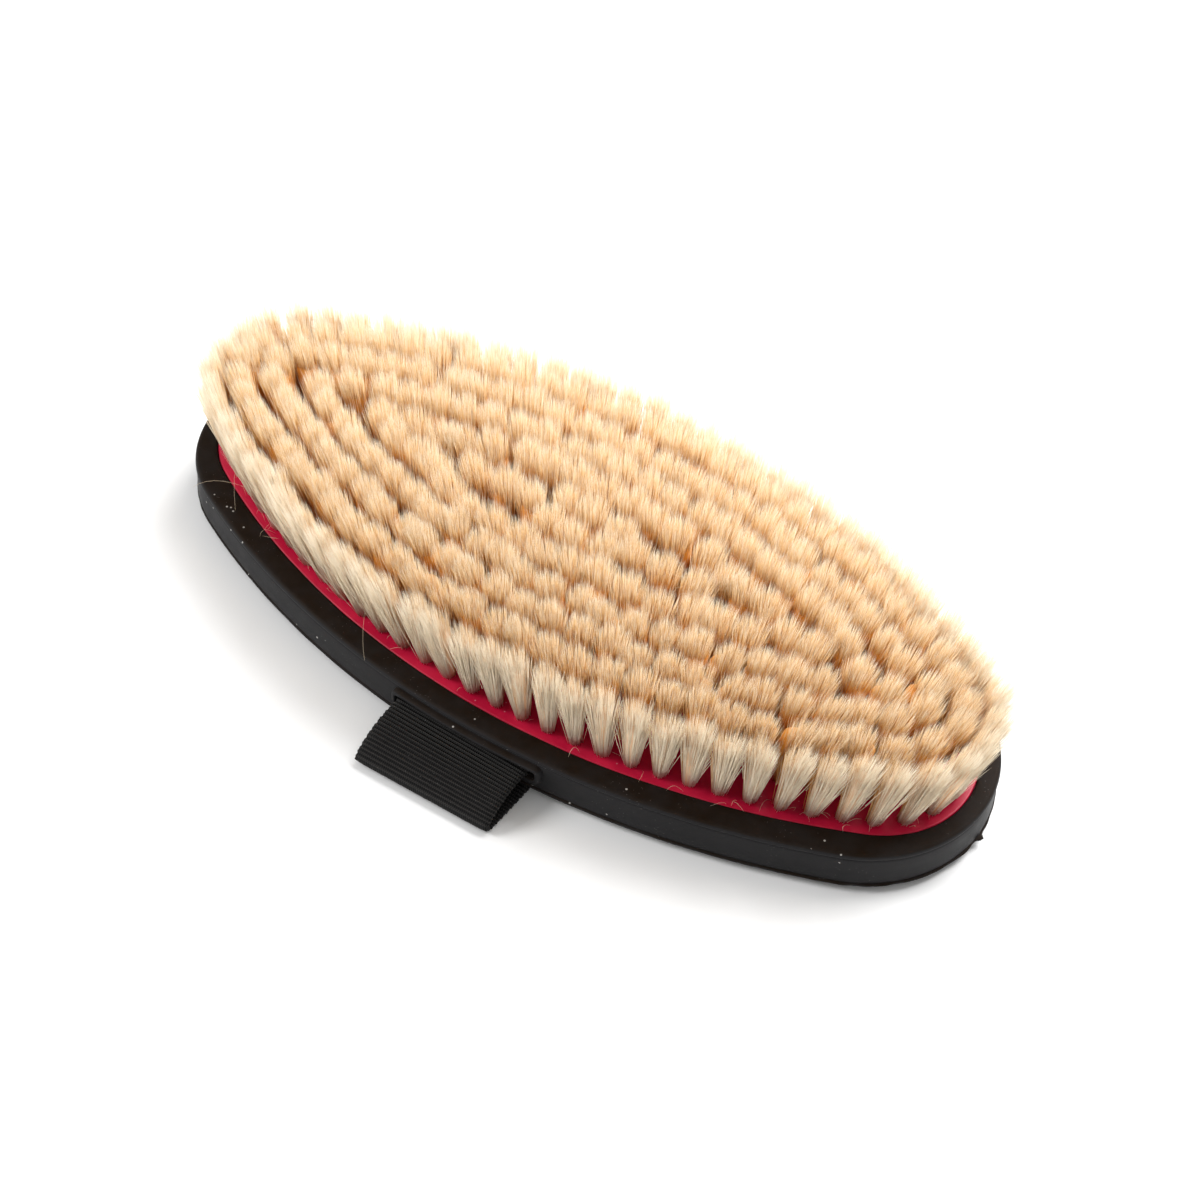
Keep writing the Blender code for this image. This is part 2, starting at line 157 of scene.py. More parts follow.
class Mat:
    """A material under construction, with one method for every kind of node."""

    def __init__(self, name, preview):
        self.made = bpy.data.materials.new(name)
        self.made.use_nodes = True
        self.made.diffuse_color = (*preview, 1.0)
        self.tree = self.made.node_tree
        self.shader = self.tree.nodes["Principled BSDF"]

    def node(self, kind, settings=None, values=(), output=0):
        made = self.tree.nodes.new(kind)
        for name, value in (settings or {}).items():
            setattr(made, name, value)
        pairs = values.items() if isinstance(values, dict) else enumerate(values)
        for where, value in pairs:
            self._feed(made.inputs[where], value)
        return Sock(self, made.outputs[output])

    def _feed(self, socket, value):
        if isinstance(value, Sock):
            self.tree.links.new(value.socket, socket)
        elif isinstance(value, (tuple, list)) and socket.type == "RGBA":
            socket.default_value = (*value[:3], 1.0)
        else:
            socket.default_value = value

    def set(self, **values):
        for name, value in values.items():
            self._feed(self.shader.inputs[name.replace("_", " ")], value)

    def mix(self, share, first, second):
        settings = {"data_type": "RGBA", "blend_type": "MIX", "clamp_factor": True}
        values = {"Factor": share, 6: first, 7: second}
        return self.node("ShaderNodeMix", settings, values, output=2)

    def place(self):
        return self.node("ShaderNodeTexCoord", output="Object")

    def uv(self, name):
        return self.node("ShaderNodeUVMap", {"uv_map": name})

    def part(self, vector, axis):
        return self.node("ShaderNodeSeparateXYZ", values=(vector,), output=axis)

    def stretch(self, vector, scale):
        return self.node("ShaderNodeVectorMath", {"operation": "MULTIPLY"}, (vector, scale))

    def noise(self, vector, scale, detail=3.0, rough=0.55):
        values = {"Vector": vector, "Scale": scale, "Detail": detail, "Roughness": rough}
        return self.node("ShaderNodeTexNoise", values=values)

    def specks(self, vector, scale, size):
        """1 in small scattered dots, 0 elsewhere."""
        cells = self.node("ShaderNodeTexVoronoi", values={"Vector": vector, "Scale": scale})
        return cells.ramp(size, size * 0.6)

    def bump(self, height, distance, strength=1.0):
        values = {"Height": height, "Distance": distance, "Strength": strength}
        self.set(Normal=self.node("ShaderNodeBump", values=values))


# Shared shapes ---------------------------------------------------------------


class Oval:
    """An oval of four arcs, or of two where an inner offset has used up the end arcs."""

    def __init__(self, half_length, half_width, end_radius):
        self.end_centre = half_length - end_radius
        reach = self.end_centre**2 + half_width**2 - end_radius**2
        self.side_radius = reach / (2 * (half_width - end_radius))
        self.side_centre = self.side_radius - half_width
        self.end_radius = end_radius

    def offset(self, inset):
        """The parallel oval this far inside, or outside for a negative inset."""
        other = Oval.__new__(Oval)
        other.end_centre, other.side_centre = self.end_centre, self.side_centre
        other.side_radius = self.side_radius - inset
        other.end_radius = self.end_radius - inset
        return other

    def join_angle(self):
        if self.end_radius > 0:
            return math.atan2(self.end_centre, self.side_centre)
        return math.acos(self.side_centre / self.side_radius)

    def half_width_at(self, x):
        return math.sqrt(max(self.side_radius**2 - x**2, 0.0)) - self.side_centre

    def outline(self, side_steps=70, end_steps=44):
        """Points all the way round, anticlockwise from +X."""
        join = self.join_angle()
        side = np.linspace(0.0, join, side_steps + 1)
        x = self.side_radius * np.sin(side)
        y = self.side_radius * np.cos(side) - self.side_centre
        end = np.linspace(join, math.pi / 2, end_steps + 1)[1:]
        radius = max(self.end_radius, 0.0)
        centre = self.end_centre if radius > 0 else x[-1]
        quarter = np.column_stack(
            (np.append(x, centre + radius * np.sin(end)), np.append(y, radius * np.cos(end)))
        )
        upper = np.vstack((quarter[::-1], (quarter * (-1, 1))[1:]))
        return np.vstack((upper, (upper * (1, -1))[-2:0:-1]))


HALF_WIDTH = 0.04765
END_RADIUS, OPENING_END_RADIUS = 0.0314, 0.0229
RIM_AT_END, RIM_AT_SIDE = 0.0043, 0.00565
LIP_DEPTH, WALL, BACK_THICK = 0.0018, 0.0028, 0.0016
BODY_OVAL = Oval(HALF_LENGTH, HALF_WIDTH, END_RADIUS)
OPENING_OVAL = Oval(HALF_LENGTH - RIM_AT_END, HALF_WIDTH - RIM_AT_SIDE, OPENING_END_RADIUS)
LIP_Z = RIM_Z - LIP_DEPTH
FLOOR_Z = BACK_Z + BACK_THICK


def new_object(name, mesh, mat):
    made = bpy.data.objects.new(name, mesh)
    bpy.context.scene.collection.objects.link(made)
    if mat is not None:
        mesh.materials.append(mat.made)
    return made


def mesh_from(name, verts, quads, tris=(), uvs=None, smooth=True):
    """A mesh from numpy arrays. uvs hold one row for each corner, quads first."""
    verts = np.asarray(verts, np.float32)
    quads = np.asarray(quads, np.int32).reshape(-1, 4)
    tris = np.asarray(tris, np.int32).reshape(-1, 3)
    corners = np.concatenate((quads.ravel(), tris.ravel()))
    starts = np.concatenate(
        (np.arange(len(quads)) * 4, len(quads) * 4 + np.arange(len(tris)) * 3)
    )
    mesh = bpy.data.meshes.new(name)
    mesh.vertices.add(len(verts))
    mesh.vertices.foreach_set("co", verts.ravel())
    mesh.loops.add(len(corners))
    mesh.loops.foreach_set("vertex_index", corners)
    mesh.polygons.add(len(starts))
    mesh.polygons.foreach_set("loop_start", starts.astype(np.int32))
    if uvs is not None:
        layer = mesh.uv_layers.new(name="OFBake")
        layer.data.foreach_set("uv", np.asarray(uvs, np.float32).ravel())
    mesh.update(calc_edges=True)
    mesh.polygons.foreach_set("use_smooth", np.full(len(starts), smooth))
    return mesh


def grid_quads(rows, columns, close_rows=False, close_columns=False):
    """Corner numbers of the quads of a grid of points, closed round either way if asked."""
    i = np.arange(rows if close_rows else rows - 1)[:, None]
    j = np.arange(columns if close_columns else columns - 1)[None, :]
    ni, nj = (i + 1) % rows, (j + 1) % columns
    corners = (i * columns + j, i * columns + nj, ni * columns + nj, ni * columns + j)
    return np.stack(np.broadcast_arrays(*corners), axis=-1).reshape(-1, 4)


def swept_solid(name, loops, levels):
    """A closed solid through loops of plan points at their levels, capped at both ends."""
    around = len(loops[0])
    verts = [np.column_stack((loop, np.broadcast_to(z, around))) for loop, z in zip(loops, levels)]
    quads = grid_quads(len(loops), around, close_columns=True)
    caps = [np.append(v.mean(0)[:2], v[:, 2].mean()) for v in (verts[0], verts[-1])]
    verts = np.vstack(verts + [caps])
    low, high = len(verts) - 2, len(verts) - 1
    j = np.arange(around)
    k = (j + 1) % around
    top = (len(loops) - 1) * around
    fans = [np.column_stack((k, j, np.full(around, low)))]
    fans.append(np.column_stack((top + j, top + k, np.full(around, high))))
    return mesh_from(name, verts, quads, np.vstack(fans))


def face_outwards(obj):
    shape = bmesh.new()
    shape.from_mesh(obj.data)
    bmesh.ops.recalc_face_normals(shape, faces=shape.faces)
    shape.to_mesh(obj.data)
    shape.free()


def apply_modifiers(obj):
    graph = bpy.context.evaluated_depsgraph_get()
    made = bpy.data.meshes.new_from_object(obj.evaluated_get(graph))
    obj.modifiers.clear()
    obj.data = made


def cut(obj, cutter):
    step = obj.modifiers.new("Cut", "BOOLEAN")
    step.operation = "DIFFERENCE"
    step.solver = "EXACT"
    step.object = cutter
    apply_modifiers(obj)
    bpy.data.objects.remove(cutter)


def smooth_by_angle(obj, degrees):
    """Sharp where faces meet at more than this angle, smooth elsewhere."""
    shape = bmesh.new()
    shape.from_mesh(obj.data)
    limit = math.radians(degrees)
    for edge in shape.edges:
        edge.smooth = edge.calc_face_angle(math.pi) < limit
    for face in shape.faces:
        face.smooth = True
    shape.to_mesh(obj.data)
    shape.free()


def tube(path, radius, sides=8, ends=True):
    """Points, quads and end triangles of a tube round a path; radius may vary along it."""
    path = np.asarray(path, float)
    radius = np.broadcast_to(radius, len(path))
    along = np.gradient(path, axis=0)
    along /= np.linalg.norm(along, axis=1)[:, None]
    side = np.cross(along, (0.13, 0.29, 1.0))
    side /= np.linalg.norm(side, axis=1)[:, None]
    other = np.cross(along, side)
    angle = np.linspace(0, 2 * math.pi, sides, endpoint=False)
    rings = (
        path[:, None]
        + radius[:, None, None]
        * (np.cos(angle)[:, None] * side[:, None] + np.sin(angle)[:, None] * other[:, None])
    )
    quads = grid_quads(len(path), sides, close_columns=True)
    verts = rings.reshape(-1, 3)
    fan = np.array([(0, j + 1, j) for j in range(1, sides - 1)])
    last = (len(path) - 1) * sides + fan[:, ::-1]
    return verts, quads, np.vstack((fan, last)) if ends else fan[:0]


def joined(parts):
    """One set of points, quads and triangles out of several."""
    verts, quads, tris, count = [], [], [], 0
    for v, q, t in parts:
        verts.append(v)
        quads.append(np.asarray(q).reshape(-1, 4) + count)
        tris.append(np.asarray(t).reshape(-1, 3) + count)
        count += len(v)
    return np.vstack(verts), np.vstack(quads), np.vstack(tris)


def ripple(count, rng, waves, power=1.0):
    """A smooth random line that closes on itself, about 1 high."""
    angle = np.linspace(0, 2 * math.pi, count, endpoint=False)
    total = np.zeros(count)
    for wave in waves:
        total += rng.normal() / wave**power * np.cos(wave * angle + rng.uniform(0, 7))
    return total / max(np.abs(total).max(), 1e-9)


# Rubber body -----------------------------------------------------------------


class BrushRubber(bpy.types.PropertyGroup):
    # Painted shade: the top of the rim is painted darker and browner than the sides.
    shaded_top_colour: Colour(
        "Top colour", "Colour of the rubber on the top of the rim", (0.0115, 0.0058, 0.0024)
    )
    # Painted light: the sides are painted a lighter grey than the top.
    lit_side_colour: Colour(
        "Side colour", "Colour of the duller rubber on the sides", (0.0145, 0.0138, 0.0145)
    )
    dust_colour: Colour("Dust", "Colour of the dust on the rubber", (0.55, 0.53, 0.50))
    edge_round: Length("Edge rounding", "Radius of the rim's outer edge", 1.1 * MM)
    flash_reach: Length(
        "Flash", "How far the thin flash of the mould stands out under the side", 0.28 * MM
    )
    collar_reach: Length(
        "Slot collar", "How far the rim round each strap slot stands out", 1.25 * MM
    )


def rubber_material(s):
    mat = Mat("Moulded rubber", s.lit_side_colour)
    place = mat.place()
    normal = mat.node("ShaderNodeNewGeometry", output="Normal")
    upward = mat.part(normal, 2).ramp(0.45, 0.85)
    mottle = mat.noise(place, 160.0, 4.0).ramp(0.3, 0.7)
    fine = mat.noise(place, 2400.0, 2.0)
    # Painted light and shade: faces that point up get the darker, browner top colour, and faces
    # that point sideways get the lighter grey side colour.
    base = mat.mix(upward, tuple(s.lit_side_colour), tuple(s.shaded_top_colour))
    base = mat.mix(mottle * 0.35, base, tuple(c * 1.7 for c in s.lit_side_colour))
    dust = mat.specks(place, 420.0, 0.13) * (mat.noise(place, 60.0) > 0.56)
    grit = mat.specks(mat.stretch(place, (1.3, 1.0, 1.0)), 1300.0, 0.11)
    grit = grit * (mat.noise(place, 110.0) > 0.55) * 0.35
    base = mat.mix(dust.most(grit) * 0.8, base, tuple(s.dust_colour))
    rough = 0.44 + mottle * 0.10 + upward * 0.20 + (fine - 0.5) * 0.12
    mat.set(Base_Color=base, Roughness=rough, Specular_IOR_Level=0.11)
    wave = mat.noise(place, 300.0, 3.0) * 0.6 + fine * 0.25 + dust * 0.5
    mat.bump(wave, 0.00012, 0.55)
    return mat


# The rubber's profile in millimetres, bottom to top: inset from the outline, and height over
# the back or depth under the edge. The flash's first column is a share of its reach.
BACK_EDGE = ((2.2, 0.0), (1.0, 0.0), (0.35, 0.05))
FLASH_EDGE = ((0.7, 0.2), (1.0, 0.42), (0.5, 0.6))
LOW_SIDE = ((0.24, 0.78), (0.24, 0.95), (0.06, 1.15), (0.0, 1.8), (0.10, 3.8), (0.16, 5.8))
HIGH_SIDE = ((0.20, 1.2), (0.30, 0.62), (0.44, 0.48), (0.44, 0.36), (0.16, 0.22))
LIP_EDGE = ((-1.6, 0.05), (-0.5, 0.03), (-0.16, 0.12), (0.0, 0.30))
ROUND_STEPS = 7


def rim_loops(s, rng):
    """The plan outline and the level of each line of the rubber's profile, bottom to inside."""
    count = len(BODY_OVAL.outline())
    angle = np.linspace(0, 2 * math.pi, count, endpoint=False)
    torn = np.clip(ripple(count, rng, range(8, 90, 3), 0.4) * 0.5 + 0.55, 0.1, 1.0)
    right = np.exp(-(((angle + math.pi) % (2 * math.pi) - math.pi + 0.35) / 0.75) ** 2)
    flash = s.flash_reach * (0.25 + 0.45 * torn + 1.0 * torn * right)
    lip_edge = 0.12 * MM * ripple(count, rng, range(3, 60, 2), 0.7)
    r = s.edge_round
    rows = [(BODY_OVAL, inset * MM, BACK_Z + up * MM) for inset, up in BACK_EDGE]
    rows += [(BODY_OVAL, -flash * out, BACK_Z + up * MM) for out, up in FLASH_EDGE]
    rows += [(BODY_OVAL, inset * MM, BACK_Z + up * MM) for inset, up in LOW_SIDE]
    rows += [(BODY_OVAL, inset * MM, RIM_Z - r - down * MM) for inset, down in HIGH_SIDE]
    for step in range(ROUND_STEPS + 1):
        turn = math.pi / 2 * step / ROUND_STEPS
        inset = r * (1 - math.cos(turn)) + 0.03 * MM
        rows.append((BODY_OVAL, inset, RIM_Z - r + r * math.sin(turn)))
    rows.append((BODY_OVAL, 2.1 * MM, RIM_Z - 0.02 * MM))
    rows += [(OPENING_OVAL, inset * MM, RIM_Z - down * MM) for inset, down in LIP_EDGE]
    rows.append((OPENING_OVAL, 0.0, LIP_Z))
    loops = []
    for oval, inset, level in rows:
        edge = lip_edge if oval is OPENING_OVAL and level > LIP_Z else 0.0
        loops.append(shifted(oval, inset + edge))
    levels = [level for _, _, level in rows]
    cavity = BODY_OVAL.offset(WALL).outline()
    return loops + [cavity, cavity], levels + [LIP_Z, FLOOR_Z]


def shifted(oval, inset):
    """The oval's outline moved inwards by an amount that may differ from point to point."""
    points = oval.outline()
    outward = points - oval.offset(1.0 * MM).outline()
    outward /= np.linalg.norm(outward, axis=1)[:, None]
    return points - outward * np.broadcast_to(inset, len(points))[:, None]


# Where the torn end of the flash stands out, which way, and its width and reach in millimetres.
NIB_SPOT = (0.1050, 0.0005)
NIB_OUTWARD = (1.0, 0.0)
NIB_WIDTH, NIB_REACH = 0.85, 1.3


def add_nib(mesh):
    """The torn end of the flash, at the right end."""
    co = np.empty(len(mesh.vertices) * 3, np.float32)
    mesh.vertices.foreach_get("co", co)
    co = co.reshape(-1, 3)
    away = np.linalg.norm(co[:, :2] - np.array(NIB_SPOT), axis=1)
    low = np.exp(-(((co[:, 2] - BACK_Z - 0.4 * MM) / (0.5 * MM)) ** 2))
    out = np.exp(-((away / (NIB_WIDTH * MM)) ** 2)) * low * NIB_REACH * MM
    co[:, :2] += np.array(NIB_OUTWARD) * out[:, None]
    mesh.vertices.foreach_set("co", co.ravel())


# Past both sides of the rubber, so that one block cuts both slots.
CUT_WIDTH = 0.2


def slot_box(length, height):
    """A block that cuts both strap slots."""
    shape = bmesh.new()
    bmesh.ops.create_cube(shape, size=1.0)
    mesh = bpy.data.meshes.new("slot")
    shape.to_mesh(mesh)
    shape.free()
    block = bpy.data.objects.new("slot", mesh)
    block.scale = (length, CUT_WIDTH, height)
    block.location = (SLOT_X, 0.0, SLOT_Z)
    bpy.context.scene.collection.objects.link(block)
    bpy.context.view_layer.update()
    mesh.transform(block.matrix_world)
    block.matrix_world = Matrix.Identity(4)
    return block


# Across the collar's edge and up from the side, both as shares of its size.
COLLAR_PROFILE = (
    (0.95, -1.2),
    (0.95, 0.25),
    (0.75, 0.8),
    (0.35, 1.0),
    (-0.25, 1.0),
    (-0.55, 0.75),
    (-0.62, -1.2),
)


def collar_mesh(s, y_sign):
    """The raised rim round one strap slot, which follows the side's curve."""
    half = (SLOT_LENGTH / 2 + 0.75 * MM, 1.75 * MM)
    corner = 1.0 * MM
    flat_x, flat_z = half[0] - corner, half[1] - corner
    line = []
    for cx, cz, start in ((1, 1, 0), (-1, 1, 90), (-1, -1, 180), (1, -1, 270)):
        for step in range(7):
            turn = math.radians(start + 15 * step)
            x = cx * flat_x + corner * math.cos(turn)
            line.append((x, cz * flat_z + corner * math.sin(turn)))
        if start in (0, 180):
            across = np.linspace(cx * flat_x, -cx * flat_x, 42)[1:-1]
            line += [(x, cz * half[1]) for x in across]
    line = np.array(line)
    outward = np.roll(line, -1, 0) - np.roll(line, 1, 0)
    outward = np.column_stack((outward[:, 1], -outward[:, 0]))
    outward /= np.linalg.norm(outward, axis=1)[:, None]
    reach = s.collar_reach
    rings = []
    for across, rise in COLLAR_PROFILE:
        flat = line + outward * across * 0.9 * MM
        side = np.array([BODY_OVAL.half_width_at(SLOT_X + x) for x in flat[:, 0]])
        out = side + np.where(rise > 0, reach * rise, rise * MM)
        rings.append(np.column_stack((SLOT_X + flat[:, 0], y_sign * out, SLOT_Z + flat[:, 1])))
    quads = grid_quads(len(rings), len(line), close_rows=True, close_columns=True)
    return np.vstack(rings), quads, np.zeros((0, 3), int)


class BRUSH_OT_rubber_body(bpy.types.Operator):
    """Makes the black rubber body with its rim, mould flash and strap slots"""

    bl_idname = "body_brush.rubber_body"
    bl_label = "Rubber body"

    def execute(self, context):
        s = context.scene.brush_rubber
        rng = np.random.default_rng(SEED)
        mat = rubber_material(s)
        loops, levels = rim_loops(s, rng)
        mesh = swept_solid("rubber_rim_body", loops, levels)
        body = new_object("rubber_rim_body", mesh, mat)
        face_outwards(body)
        add_nib(body.data)
        cut(body, slot_box(SLOT_LENGTH, WEBBING_THICK + 0.7 * MM))
        smooth_by_angle(body, 50)
        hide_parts("rubber_body")
        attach(body, BODY)
        parts = joined([collar_mesh(s, -1), collar_mesh(s, 1)])
        mesh = mesh_from("strap_slot_collars", *parts)
        collars = new_object("strap_slot_collars", mesh, mat)
        face_outwards(collars)
        smooth_by_angle(collars, 60)
        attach(collars, BODY)
        return {"FINISHED"}


# Tuft plate ------------------------------------------------------------------


class BrushPlate(bpy.types.PropertyGroup):
    colour: Colour("Colour", "Colour of the raspberry plastic", (0.47, 0.003, 0.036))
    roughness: Share("Roughness", "Roughness of the plastic", 0.36)
    burr: Length("Burr", "Thickness of the raised edge round each tuft's seat", 0.16 * MM)


def plate_material(s):
    mat = Mat("Raspberry plastic", s.colour)
    place = mat.place()
    cloud = mat.noise(mat.stretch(place, (1.0, 1.6, 1.0)), 130.0, 4.0).ramp(0.3, 0.72)
    fine = mat.noise(place, 900.0, 3.0)
    pale = tuple(min(c * 1.55 + 0.012, 1.0) for c in s.colour)
    base = mat.mix(cloud * 0.5, tuple(s.colour), pale)
    dust = mat.specks(place, 520.0, 0.12) * (mat.noise(place, 90.0) > 0.58)
    base = mat.mix(dust * 0.5, base, (0.75, 0.35, 0.4))
    rough = s.roughness + cloud * 0.10 + (fine - 0.5) * 0.15
    mat.set(Base_Color=base, Roughness=rough, Specular_IOR_Level=0.3)
    mat.bump(cloud * 0.5 + fine * 0.3 + dust * 0.4, 0.00010, 0.5)
    return mat


# Inset from the rim's opening and depth under the plate's top, in millimetres.
PLATE_EDGE = ((0.12, 0.45), (0.14, 0.2), (0.25, 0.07), (0.5, 0.0), (4.0, 0.0), (12.0, 0.0))


class BRUSH_OT_tuft_plate(bpy.types.Operator):
    """Makes the raspberry plastic plate that the tufts stand in"""

    bl_idname = "body_brush.tuft_plate"
    bl_label = "Tuft plate"

    def execute(self, context):
        s = context.scene.brush_plate
        gap = 0.3 * MM
        rows = [(PLATE_LOW.z, BODY_OVAL.offset(WALL + gap))]
        rows += [(LIP_Z - gap, BODY_OVAL.offset(WALL + gap))]
        rows += [(LIP_Z - gap, OPENING_OVAL.offset(gap))]
        for inset, drop in PLATE_EDGE:
            rows.append((PLATE_Z - drop * MM, OPENING_OVAL.offset(inset * MM)))
        mesh = swept_solid("raspberry_plate", [o.outline() for _, o in rows], [z for z, _ in rows])
        plate = new_object("raspberry_plate", mesh, plate_material(s))
        face_outwards(plate)
        smooth_by_angle(plate, 40)
        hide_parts("tuft_plate")
        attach(plate, BODY)
        self.add_burrs(s, plate.data.materials[0])
        return {"FINISHED"}

    def add_burrs(self, s, finish):
        rng = np.random.default_rng(SEED + 1)
        around, sides = 18, 6
        quads = grid_quads(around, sides, True, True)
        rings = []
        for x, y, *_ in all_tufts():
            angle = np.linspace(0, 2 * math.pi, around, endpoint=False)
            radius = ROOT_RADIUS + 0.10 * MM + 0.06 * MM * rng.normal(size=around)
            path = np.column_stack(
                (x + radius * np.cos(angle), y + radius * np.sin(angle), np.full(around, PLATE_Z))
            )
            thick = s.burr * rng.uniform(0.6, 1.5, around)
            verts, _, _ = tube(np.vstack((path, path[:1])), np.append(thick, thick[0]), sides)
            rings.append((verts[: around * sides], quads, np.zeros((0, 3), int)))
        mesh = mesh_from("seat_burrs", *joined(rings))
        burrs = new_object("seat_burrs", mesh, None)
        burrs.data.materials.append(finish)
        face_outwards(burrs)
        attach(burrs, BODY)


# Bristles --------------------------------------------------------------------

RING_COUNT = 5
OUTER_INSET = 3.7 * MM
CENTRE_HALF = 3.5 * MM
TUFT_PITCH = 6.6 * MM
ROW_PITCH = (HALF_WIDTH - RIM_AT_SIDE - OUTER_INSET - CENTRE_HALF) / RING_COUNT
ROW_HALF = (ROW_PITCH - 0.8 * MM) / 2
TUFT_RADIUS = min(ROW_HALF, TUFT_PITCH / 2) - 0.2 * MM
ROOT_RADIUS = 1.45 * MM
# Where the tufts leave room on the length axis, and how hard the tufts round it lean over it.
BARE_SPOTS = ((-35.7 * MM, 34.0), (33.8 * MM, 26.0))


class Tuft(NamedTuple):
    """A tuft's root, the direction of its row, and the row's number from the outside in."""

    x: float
    y: float
    along_x: float
    along_y: float
    row: int


def row_oval(row):
    return OPENING_OVAL.offset(OUTER_INSET + row * ROW_PITCH)


def onto_axis(x, y):
    """A tuft whose twin across the length axis would touch it stands on that axis instead."""
    return (x, y) if abs(y) > TUFT_RADIUS + 0.1 * MM else (x, 0.0)


def ring_places(row):
    """Tuft roots round one ring, each with the direction of its row."""
    line = row_oval(row).outline(40, 12)
    line = line[np.linalg.norm(np.roll(line, -1, 0) - line, axis=1) > 1e-7]
    ends = np.vstack((line, line[:1]))
    lengths = np.linalg.norm(np.diff(ends, axis=0), axis=1)
    walked = np.append(0.0, np.cumsum(lengths))
    count = round(walked[-1] / TUFT_PITCH)
    places = []
    for i in range(count):
        target = walked[-1] * i / count
        at = min(int(np.searchsorted(walked, target, side="right")) - 1, len(lengths) - 1)
        point = ends[at] + (ends[at + 1] - ends[at]) * (target - walked[at]) / lengths[at]
        x, y = onto_axis(*point)
        if all(math.dist((x, y), p[:2]) > 2 * TUFT_RADIUS for p in places):
            along = (ends[at + 1] - ends[at]) / lengths[at]
            places.append(Tuft(x, y, *along, row))
    return places


def centre_places():
    """The middle row: pairs while there is room for two side by side, then single tufts."""
    line = row_oval(RING_COUNT)
    room = line.offset(-ROW_HALF)
    places, step = set(), 0
    while room.half_width_at(step * TUFT_PITCH) > TUFT_RADIUS + 0.2 * MM:
        x = step * TUFT_PITCH
        y = max(line.half_width_at(x), 0.0)
        places |= {onto_axis(a, b) for a in (x, -x) for b in (y, -y)}
        step += 1
    return [Tuft(x, y, 1.0, 0.0, RING_COUNT) for x, y in sorted(places)]


def all_tufts():
    tufts = [tuft for row in range(RING_COUNT) for tuft in ring_places(row)]
    return tufts + centre_places()


class BrushBristles(bpy.types.PropertyGroup):
    long_hairs: Count("Long hairs", "Whole bristles in each inner tuft", 90)
    short_hairs: Count(
        "Short hairs", "Bristles in each tuft of which only the upper part shows", 390
    )
    length: Length("Length", "Bristle length above the plate", 26.5 * MM)
    width: Length("Width", "Bristle diameter", 0.135 * MM)
    spread_along: Length("Spread along", "Half size of a tuft's tips along its row", 3.80 * MM)
    spread_across: Length("Spread across", "Half size of a tuft's tips across its row", 3.30 * MM)
    fan_along: Number("Fan along", "Slope gained with each metre along the brush", 2.5)
    fan_across: Number("Fan across", "Slope gained with each metre across the brush", 5.0)
    tip_colour: Colour("Tips", "Colour of the bristles' tips", (0.84, 0.745, 0.58))
    # Painted shade: a golden colour a little below the tips, standing in for light bounced between
    # the bristles.
    gold_shade_colour: Colour("Upper length", "Colour a little below the tips", (0.80, 0.50, 0.205))
    # Painted shade deep between the tufts.
    deep_shade_colour: Colour("Depth", "Colour deep between the tufts", (0.70, 0.295, 0.05))
    # Painted light on the outer row's sides, which face the light with no neighbours shading them.
    lit_side_colour: Colour("Outer sides", "Colour of the outer row's sides", (0.94, 0.82, 0.63))
    # Painted shade at the outer row's roots, next to the plate.
    root_shade_colour: Colour(
        "Outer roots", "Colour of the outer row's roots, next to the plate", (0.86, 0.66, 0.54)
    )


def bristle_material(s):
    """Cream colour with painted light and shade from the map: across it from the painted light of
    the outer bristles to the painted shade of deep ones, up it from root to tip.
    """
    mat = Mat("Cream bristle", s.tip_colour)
    place = mat.uv("OFBake")
    depth, height = mat.part(place, 0), mat.part(place, 1)
    grain = mat.noise(mat.stretch(place, (90.0, 5.0, 1.0)), 1.0, 2.0)
    # Painted shade: inner hairs go from the golden shade down to the deep shade, and outer hairs
    # from their shaded roots up to the painted light of their sides.
    deep = mat.mix(height.ramp(0.60, 0.88), tuple(s.deep_shade_colour), tuple(s.gold_shade_colour))
    outer = mat.mix(height.ramp(0.0, 0.34), tuple(s.root_shade_colour), tuple(s.lit_side_colour))
    body = mat.mix(depth.ramp(0.15, 0.75), outer, deep)
    base = mat.mix(height.ramp(0.87, 0.99), body, tuple(s.tip_colour))
    base = mat.mix((grain - 0.52) * 1.4, base, (0.93, 0.87, 0.76))
    base = mat.mix((0.46 - grain) * 1.6, base, (0.57, 0.31, 0.10))
    mat.set(Base_Color=base, Roughness=0.52, Specular_IOR_Level=0.28)
    return mat


# How the hairs of a tuft differ from one another. Lengths are in millimetres.
LEAN_SCATTER = 0.022
BARE_REACH = 7.5
SQUARENESS = 0.13
INNER_SPREAD = 1.12
CLUMPS, CLUMP_PULL, CLUMP_HEIGHT = 24, 0.38, 0.30
TIP_SCATTER = 0.34
STRAY_SHARE = 0.05
CROWN = 0.060
HEIGHT_SCATTER, HEIGHT_LOSS = 0.22, 0.60
BOW_SCATTER, BOW_OUTWARD = 0.14, 0.15
ROOT_DEPTH = 0.4
# How far up a short hair starts, and how many times more whole hairs the outer row has.
SHORT_START = 0.42
OUTER_WHOLE = 4


def hair_rings(line, widths, rng):
    """Three points round each of a hair's places, for hairs given as (hair, place, xyz)."""
    along = line[:, -1] - line[:, 0]
    along /= np.linalg.norm(along, axis=1)[:, None]
    side = np.cross(along, (0.3, 1.0, 0.1))
    side /= np.linalg.norm(side, axis=1)[:, None]
    other = np.cross(along, side)
    turn = rng.uniform(0, 2 * math.pi, len(line))[:, None] + np.array((0, 1, 2)) * 2 * math.pi / 3
    spokes = np.cos(turn)[..., None] * side[:, None] + np.sin(turn)[..., None] * other[:, None]
    return line[:, :, None] + spokes[:, None] * (np.array(widths) / 2)[None, :, None, None]


